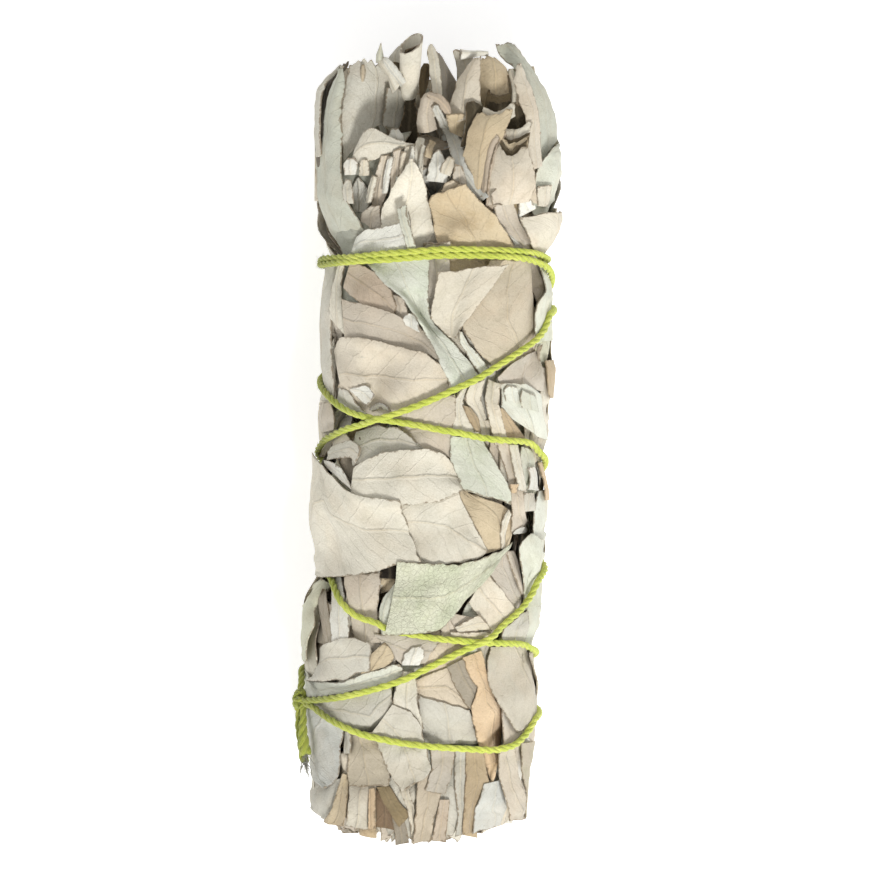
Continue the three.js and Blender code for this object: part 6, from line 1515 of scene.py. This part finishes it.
def add_cord(body, points, loosen=0.0, swell=0.0, lay_length=PLY_LAY):
    """Cord twisted of plies along a path; towards its end they spread and grow thicker."""
    path, at = even_path(points, PLY_STEP)
    _, side, up = frames_along(path, out_of_axis(path))
    spread = PLY_AT * (1 + loosen * np.clip(at / at[-1], 0, 1) ** 2)
    spin = TURN * at / lay_length
    wobble = 0.05 * np.sin(at / 3.1) + 0.04 * np.sin(at / 1.3 + 1)
    for k in range(PLIES):
        angle = -spin + k * TURN / PLIES
        off = spread * (1 + wobble)
        ply = path + (off * np.cos(angle))[:, None] * side + (off * np.sin(angle))[:, None] * up
        thick = 1 + 0.05 * np.sin(at * 2.1 + k) + swell * eased(at / at[-1], 0.25, 0.8)
        add_tube(body, ply, PLY_RADIUS * thick, linear("lime"), seed=k)


def add_fuzz(body, path, draw, count):
    """Stray fibres that stand off the cord."""
    ahead, side, up = frames_along(path, out_of_axis(path))
    for _ in range(count):
        k = draw.randint(2, len(path) - 3)
        angle = draw.uniform(-0.3, math.pi + 0.3)
        out = math.cos(angle) * side[k] + math.sin(angle) * up[k]
        start = path[k] + out * 0.4
        reach = draw.uniform(0.25, 0.75)
        lean = ahead[k] * draw.uniform(-0.6, 0.6)
        bend = draw.uniform(-0.2, 0.2, 3)
        end = start + (out + lean) * reach * 0.6
        add_tube(body, smooth_path([start, (start + end) / 2 + bend * reach * 0.5, end], 0.12),
                 STRAY_RADIUS, linear("lime_light"), sides=4, seed=9)


KNOT_RADIUS = 15.3              # from the stick's axis to the middle of the knot
KNOT_STEPS = 9                  # steps over which the twine comes up to it
KNOT_WRAPS = ((0.3, 1.15), (1.35, 1.0), (-0.8, 0.95))       # tilt and size of each
KNOT_LAY = 2.4
# The two tails: points from the knot on; how far the plies spread and swell to the end.
TAILS = (
    ([(0, 0, 0), (-0.2, -1.6, -0.2), (-0.2, -3.4, -0.3), (0.1, -5.2, 0), (0.5, -7.6, 0.4)],
     0.5, 0.25),
    ([(0, 0, 0), (0.35, -1.5, 0.5), (0.3, -3.3, 0.7), (0.4, -4.9, 0.9), (0.6, -6.6, 0.9)],
     0.9, 0.8))
STRAY_FIBRES = 700
STRAY_ON_TAIL = 40
STRAY_RADIUS = 0.016
LOOSE_AT_END = 26
LOOSE_RADIUS = 0.035
LEFT_PAINTED_SHADE = 0.45                 # painted shade: how much darker the cord is on the left of the stick
PAINTED_SHADE_FROM, PAINTED_SHADE_TO = 8.5, 13.5


def add_twine(body, route, r, draw):
    """The whole cord along its route, with its knot and both tails."""
    path = to_space(*route, r)
    knot = to_space(*(np.array([v]) for v in (*KNOT, KNOT_RADIUS)))[0]
    nearing = (np.arange(KNOT_STEPS, 0, -1) / KNOT_STEPS)[:, None] ** 2
    path[:KNOT_STEPS] += (knot - path[0]) * nearing
    path[-KNOT_STEPS:] += (knot - path[-1]) * nearing[::-1]
    add_cord(body, path)
    add_fuzz(body, path, draw, STRAY_FIBRES)
    add_knot(body, knot)
    for tail, loosen, swell in TAILS:
        points = smooth_path(np.array(tail) + knot, PLY_STEP)
        add_cord(body, points, loosen, swell)
        add_fuzz(body, points, draw, STRAY_ON_TAIL)
        add_frayed_end(body, points, draw)


def add_knot(body, centre):
    """An overhand knot: three tight wraps of cord round the crossing."""
    for tilt, size in KNOT_WRAPS:
        t = np.linspace(0, TURN * 0.93, 26)
        x = size * np.cos(t) * 0.55
        y = size * np.sin(t) * math.cos(tilt)
        z = size * np.sin(t) * math.sin(tilt)
        add_cord(body, centre + np.stack([x, y * 1.1, z * 0.9], axis=1), lay_length=KNOT_LAY)


def paint_shade_left(body):
    """Painted shade: the cord is darker on the left of the stick, the side away from the light.
    """
    for k, points in enumerate(body.points):
        shade = 1 - LEFT_PAINTED_SHADE * eased(-points[:, :1], PAINTED_SHADE_FROM, PAINTED_SHADE_TO)
        body.tone[k] = np.concatenate([body.tone[k][:, :3] * shade, body.tone[k][:, 3:]], axis=1)


def add_frayed_end(body, points, draw):
    """Loose fibres where the cord is cut."""
    end, ahead = points[-1], points[-1] - points[-3]
    ahead = ahead / np.linalg.norm(ahead)
    for _ in range(LOOSE_AT_END):
        start = end + draw.uniform(-0.3, 0.3, 3)
        aim = ahead + draw.uniform(-0.5, 0.5, 3)
        reach = draw.uniform(0.5, 1.6)
        half_way = start + aim * reach / 2 + draw.uniform(-0.25, 0.25, 3)
        add_tube(body, smooth_path([start, half_way, start + aim * reach], 0.2),
                 LOOSE_RADIUS, linear("frayed"), sides=4, seed=9)


# ------------------------------------------------------------------ materials
class Look:
    """A material in the making, with short ways to add its nodes. What they give is a socket."""

    def __init__(self, name):
        self.material = bpy.data.materials.new(name)
        self.material.use_nodes = True
        self.nodes = self.material.node_tree.nodes
        self.nodes.clear()

    def node(self, kind, inputs, output=0, **settings):
        """Adds a node. Each of its inputs is a number, a colour, a vector or another's output."""
        node = self.nodes.new("ShaderNode" + kind)
        for key, value in settings.items():
            setattr(node, key, value)
        for key, value in inputs.items():
            socket = node.inputs[key]
            if isinstance(value, bpy.types.NodeSocket):
                self.material.node_tree.links.new(value, socket)
            elif socket.type == "RGBA":
                socket.default_value = (*value, 1)
            else:
                socket.default_value = value
        return node.outputs[output] if node.outputs else None

    def maths(self, operation, one, two=0.0, three=0.0, clamp=False):
        return self.node("Math", {0: one, 1: two, 2: three}, operation=operation, use_clamp=clamp)

    def mixed(self, share, one, two, blend="MIX"):
        return self.node("Mix", {0: share, 6: one, 7: two}, 2, data_type="RGBA", blend_type=blend)

    def ramped(self, value, low, high, start=0.0, end=1.0):
        return self.node("MapRange", {0: value, 1: low, 2: high, 3: start, 4: end},
                         interpolation_type="SMOOTHSTEP")

    def noise(self, place, scale, detail=3.0, rough=0.55):
        return self.node("TexNoise", {"Vector": place, "Scale": scale, "Detail": detail,
                                      "Roughness": rough})

    def net(self, place, scale, width):
        """Thin lines between the cells of a net, as fine as width."""
        away = self.node("TexVoronoi", {"Vector": place, "Scale": scale}, "Distance",
                         feature="DISTANCE_TO_EDGE")
        return self.ramped(away, 0.0, width, 1, 0)

    def attribute(self, name, output):
        return self.node("Attribute", {}, output, attribute_name=name)

    def bump(self, height, strength, distance):
        return self.node("Bump", {"Height": height, "Strength": strength, "Distance": distance})

    def finished(self, colour, rough, inputs):
        shader = self.node("BsdfPrincipled", {"Base Color": colour, "Roughness": rough, **inputs})
        self.node("OutputMaterial", {0: shader})
        return self.material


# Blush, shade and strength of the net of veins in each kind of leaf.
LEAF_LOOKS = dict(
    leaf_cream=((1.0, 0.96, 0.92), (0.88, 0.88, 0.86), 0.022),
    leaf_beige=((1.0, 0.945, 0.9), (0.87, 0.86, 0.83), 0.025),
    leaf_pale_green=((0.95, 1.0, 0.92), (0.88, 0.89, 0.86), 0.035),
    leaf_grey_green=((0.94, 1.0, 0.9), (0.87, 0.88, 0.82), 0.075),
    leaf_tan=((1.0, 0.95, 0.88), (0.87, 0.84, 0.78), 0.03))
NET_CELLS, FINE_CELLS = 1.5, 3.0        # to the mm
SIDE_VEIN_GAP = 2.7             # mm down the leaf
SIDE_VEIN_SLANT = 1.1
VEIN_COLOUR = (0.3, 0.25, 0.17)
RIB_LIGHT = (1.16, 1.12, 1.04)
FLECK_COLOUR = (0.36, 0.25, 0.14)
FLECKS = 0.5
FELT_SHADE = (0.8, 0.79, 0.745)
# Dark leaf rim: partly the brownish margin, partly painted shadow where an edge lies on the leaf
# below.
RIM_COLOUR = (0.2, 0.145, 0.085)
LEAF_BUMP = 0.00016             # metres


def leaf_material(name, blush, shade, net):
    """Dried sage leaf: felted, with a net of fine veins, a midrib and dark rims, partly brownish
    margin and partly painted edge shadow.
    """
    look = Look(name)
    maths, mixed, ramped, noise = look.maths, look.mixed, look.ramped, look.noise
    place = look.attribute("leaf", "Vector")
    across = look.node("SeparateXYZ", {0: place}, 0)
    down = look.node("SeparateXYZ", {0: place}, 1)

    patch = noise(place, 0.5, 5, 0.65)
    colour = look.attribute("tone", "Color")
    colour = mixed(ramped(noise(place, 0.22, 4), 0.42, 0.66, 0, 0.6), colour, blush, "MULTIPLY")
    colour = mixed(ramped(patch, 0.45, 0.7, 0, 0.75), colour, shade, "MULTIPLY")

    ripple = look.node("TexNoise", {"Vector": place, "Scale": 1.4}, "Color")
    ripple = look.node("VectorMath", {0: ripple, "Scale": 0.5}, operation="SCALE")
    bent = look.node("VectorMath", {0: place, 1: ripple}, operation="ADD")
    net_line = look.net(bent, NET_CELLS, 0.09)
    fine_line = look.net(bent, FINE_CELLS, 0.14)

    away = maths("ABSOLUTE", across)
    slant = maths("SUBTRACT", down, maths("MULTIPLY", away, SIDE_VEIN_SLANT))
    slant = maths("MULTIPLY_ADD", patch, 1.6, slant)
    side = maths("PINGPONG", maths("DIVIDE", slant, SIDE_VEIN_GAP), 0.5)
    side_line = ramped(side, 0.0, 0.075, 1, 0)
    rib_line = ramped(away, 0.05, 0.34, 1, 0)
    rib_core = ramped(away, 0.0, 0.14, 1, 0)

    veins = maths("MULTIPLY_ADD", fine_line, net * 0.5, maths("MULTIPLY", net_line, net))
    veins = maths("MULTIPLY", veins, look.attribute("tone", "Alpha"))
    veins = maths("MULTIPLY_ADD", side_line, 0.05, veins)
    veins = maths("MULTIPLY_ADD", rib_line, 0.12, veins, clamp=True)
    colour = mixed(veins, colour, VEIN_COLOUR)
    colour = mixed(maths("MULTIPLY", rib_core, 0.6), colour, RIB_LIGHT, "MULTIPLY")

    fleck = ramped(noise(place, 2.2, 5, 0.75), 0.66, 0.76, 0, FLECKS)
    colour = mixed(fleck, colour, FLECK_COLOUR)
    felt = noise(place, 4.5, 4, 0.7)
    colour = mixed(ramped(felt, 0.35, 0.7, 0, 0.55), colour, FELT_SHADE, "MULTIPLY")

    # Dark rim along the edge: partly brownish margin, partly painted shadow of the gap under the
    # edge.
    uneven = maths("MULTIPLY", noise(place, 1.6, 4), 0.9)
    from_rim = maths("SUBTRACT", look.attribute("edge", "Fac"), uneven)
    rim_brown_and_shade = ramped(from_rim, -0.48, -0.3, 1, 0)
    colour = mixed(maths("MULTIPLY", rim_brown_and_shade, 0.75), colour, RIM_COLOUR)

    height = maths("MULTIPLY", felt, 0.75)
    for line, rise in ((net_line, net * -5), (fine_line, net * -3), (side_line, 0.3),
                       (rib_line, 0.7), (patch, 0.8)):
        height = maths("MULTIPLY_ADD", line, rise, height)
    return look.finished(colour, ramped(felt, 0.3, 0.7, 0.82, 0.95), {
        "Specular IOR Level": 0.22, "Sheen Weight": 0.12, "Sheen Roughness": 0.5,
        "Normal": look.bump(height, 0.85, LEAF_BUMP)})


STRAND_STRETCH = (3.0, 0.8, 1.0)
# Pale and dark strands: partly the fibres' own colour, partly painted highlight and painted
# groove shade.
STRAND_LIGHT, STRAND_DARK, CORD_PATCH = (1.22, 1.13, 2.0), (0.46, 0.58, 0.2), (0.8, 0.88, 0.6)
STRAND_BUMP = 0.0001            # metres


def twine_material():
    """Dyed cotton: fine strands that run along each ply, some paler and some darker; the pale
    streaks are partly painted highlight and the dark ones partly painted shade of the grooves.
    """
    look = Look("twine")
    place = look.attribute("leaf", "Vector")
    squeezed = look.node("VectorMath", {0: place, 1: STRAND_STRETCH}, operation="MULTIPLY")
    strand = look.noise(squeezed, 2.4, 4, 0.7)
    patch = look.noise(place, 0.35, 3)
    colour = look.attribute("tone", "Color")
    for share, shade in ((look.ramped(strand, 0.35, 0.68, 0, 1), STRAND_LIGHT),
                         (look.ramped(strand, 0.54, 0.34, 0, 0.8), STRAND_DARK),
                         (look.ramped(patch, 0.35, 0.7, 0, 0.8), CORD_PATCH)):
        colour = look.mixed(share, colour, shade, "MULTIPLY")
    return look.finished(colour, look.ramped(strand, 0.3, 0.7, 0.7, 0.9), {
        "Specular IOR Level": 0.3, "Sheen Weight": 0.25,
        "Normal": look.bump(strand, 0.8, STRAND_BUMP)})


# ------------------------------------------------------------------ floor and light
FLOOR_SIDE = 4.0                # metres
FLOOR_WHITE = (0.9, 0.9, 0.9)
FLOOR_GLOW = 0.5
WORLD_STRENGTH = 0.65
KEY_HEIGHT = 50                 # degrees over the floor
KEY_BEARING = -72               # degrees from +X
KEY_DISTANCE = 0.9              # metres, as is its side
KEY_SIDE = 0.16
KEY_WATTS = 6.5
KEY_COLOUR = (0.985, 0.99, 1.0)


def place_floor():
    """The white paper under the stick."""
    half = FLOOR_SIDE / 2
    mesh = bpy.data.meshes.new("floor")
    mesh.from_pydata([(-half, -half, 0), (half, -half, 0), (half, half, 0), (-half, half, 0)], [],
                     [(0, 1, 2, 3)])
    mesh.materials.append(Look("floor").finished(FLOOR_WHITE, 0.9, {
        "Specular IOR Level": 0.1, "Emission Color": (1, 1, 1), "Emission Strength": FLOOR_GLOW}))
    floor = bpy.data.objects.new("floor", mesh)
    bpy.context.scene.collection.objects.link(floor)


def place_light():
    """An even white sky and one soft key light."""
    world = bpy.data.worlds.new("studio")
    world.use_nodes = True
    background = world.node_tree.nodes["Background"]
    background.inputs[0].default_value = (1, 1, 1, 1)
    background.inputs[1].default_value = WORLD_STRENGTH
    bpy.context.scene.world = world
    data = bpy.data.lights.new("key", "AREA")
    data.size = KEY_SIDE
    data.energy = KEY_WATTS
    data.color = KEY_COLOUR
    lamp = bpy.data.objects.new("key", data)
    up = math.radians(KEY_HEIGHT)
    bearing = math.radians(KEY_BEARING)
    flat = math.cos(up) * KEY_DISTANCE
    lamp.location = (flat * math.cos(bearing), flat * math.sin(bearing),
                     math.sin(up) * KEY_DISTANCE)
    lamp.rotation_euler = (math.pi / 2 - up, 0, bearing + math.pi / 2)
    bpy.context.scene.collection.objects.link(lamp)
    bpy.context.scene.view_settings.view_transform = "Standard"


# ------------------------------------------------------------------ the bunch
NODE_SLOTS = dict(
    leafy_stem_1="leaf_beige", leafy_stem_2="leaf_cream", leafy_stem_3="leaf_beige",
    leafy_stem_4="leaf_grey_green", leafy_stem_5="leaf_grey_green", leafy_stem_6="leaf_cream",
    leafy_stem_7="leaf_beige", tan_leaf="leaf_tan", cross_leaf="leaf_pale_green",
    cream_leaf="leaf_cream", long_green="leaf_pale_green", flap="leaf_cream",
    big_right="leaf_cream", cream_big="leaf_cream", green_fold_leaf="leaf_pale_green",
    under_strip="leaf_cream", grey_leaf="leaf_cream", orange_stem="leaf_tan",
    right_slab="leaf_beige", tie_wedge="leaf_cream", light_tip="leaf_cream",
    left_fold="leaf_beige", big_left="leaf_cream", green_leaf="leaf_grey_green",
    binding_twine="twine")


# What fills the stick, in the order in which it is laid: the layer, its seed, its leaves.
FILLING = ((lay_under, 11, 150), (lay_feet, 12, 130), (lay_tips, 13, 46), (lay_heart, 16, 18),
           (lay_back, 14, 120), (lay_filling, 15, 230))
PLANS = ((CROWN + UPPER, 20), (MIDDLE_UPPER, 21), (MIDDLE, 22), (LOWER, 23), (TIES, 24))
CUT_END_DARK = 0.84             # tone of the leaves at the foot


def lay_bunch():
    """Lays all the leaves and the twine; gives the twine's route and how the pile settled."""
    mark_stems()
    for layer, seed, count in FILLING:
        layer(seed, count)
    lay_sheets(SHEETS, 51)
    lay_rolls(ROLLS, 52)
    for plan, seed in PLANS:
        lay_planned(read_plan(plan), seed)
    lay_planned(read_plan(CUT_END), 25, dark=CUT_END_DARK)
    lay_bud(17, 14)
    route = smoothed_route(*twine_route())
    settle = settle_fields(relief.copy(), route)
    settle_leaves(settle)
    twine_r = lay_twine(*route)
    mark_route(route, twine_r)
    lay_planned(read_plan(OVER_TWINE), 30)
    return route, twine_r, settle


def build_bunch():
    """Lays the leaves and the twine, then makes a piece for each node."""
    route, twine_r, settle = lay_bunch()
    bodies = {node: Body() for node in NODE_SLOTS}
    for leaf in leaves:
        add_leaf(bodies[leaf["node"]], leaf)
    for sector in range(1, SECTORS + 2):
        add_core(bodies["leafy_stem_%d" % sector], sector, settle)
    draw = np.random.RandomState(41)
    for node, turn, at in stem_axes():
        add_stem(bodies[node], turn, at, draw)
    add_twine(bodies["binding_twine"], route, twine_r, np.random.RandomState(42))
    # Painted shade on the cord's left side.
    paint_shade_left(bodies["binding_twine"])
    materials = {name: leaf_material(name, *look) for name, look in LEAF_LOOKS.items()}
    materials["twine"] = twine_material()
    for node, body in bodies.items():
        slot = NODE_SLOTS[node]
        piece = body.piece(node + "_dressed", materials[slot])
        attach(piece, "root")
        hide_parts(node)


build_bunch()
place_floor()
place_light()

bpy.context.view_layer.update()
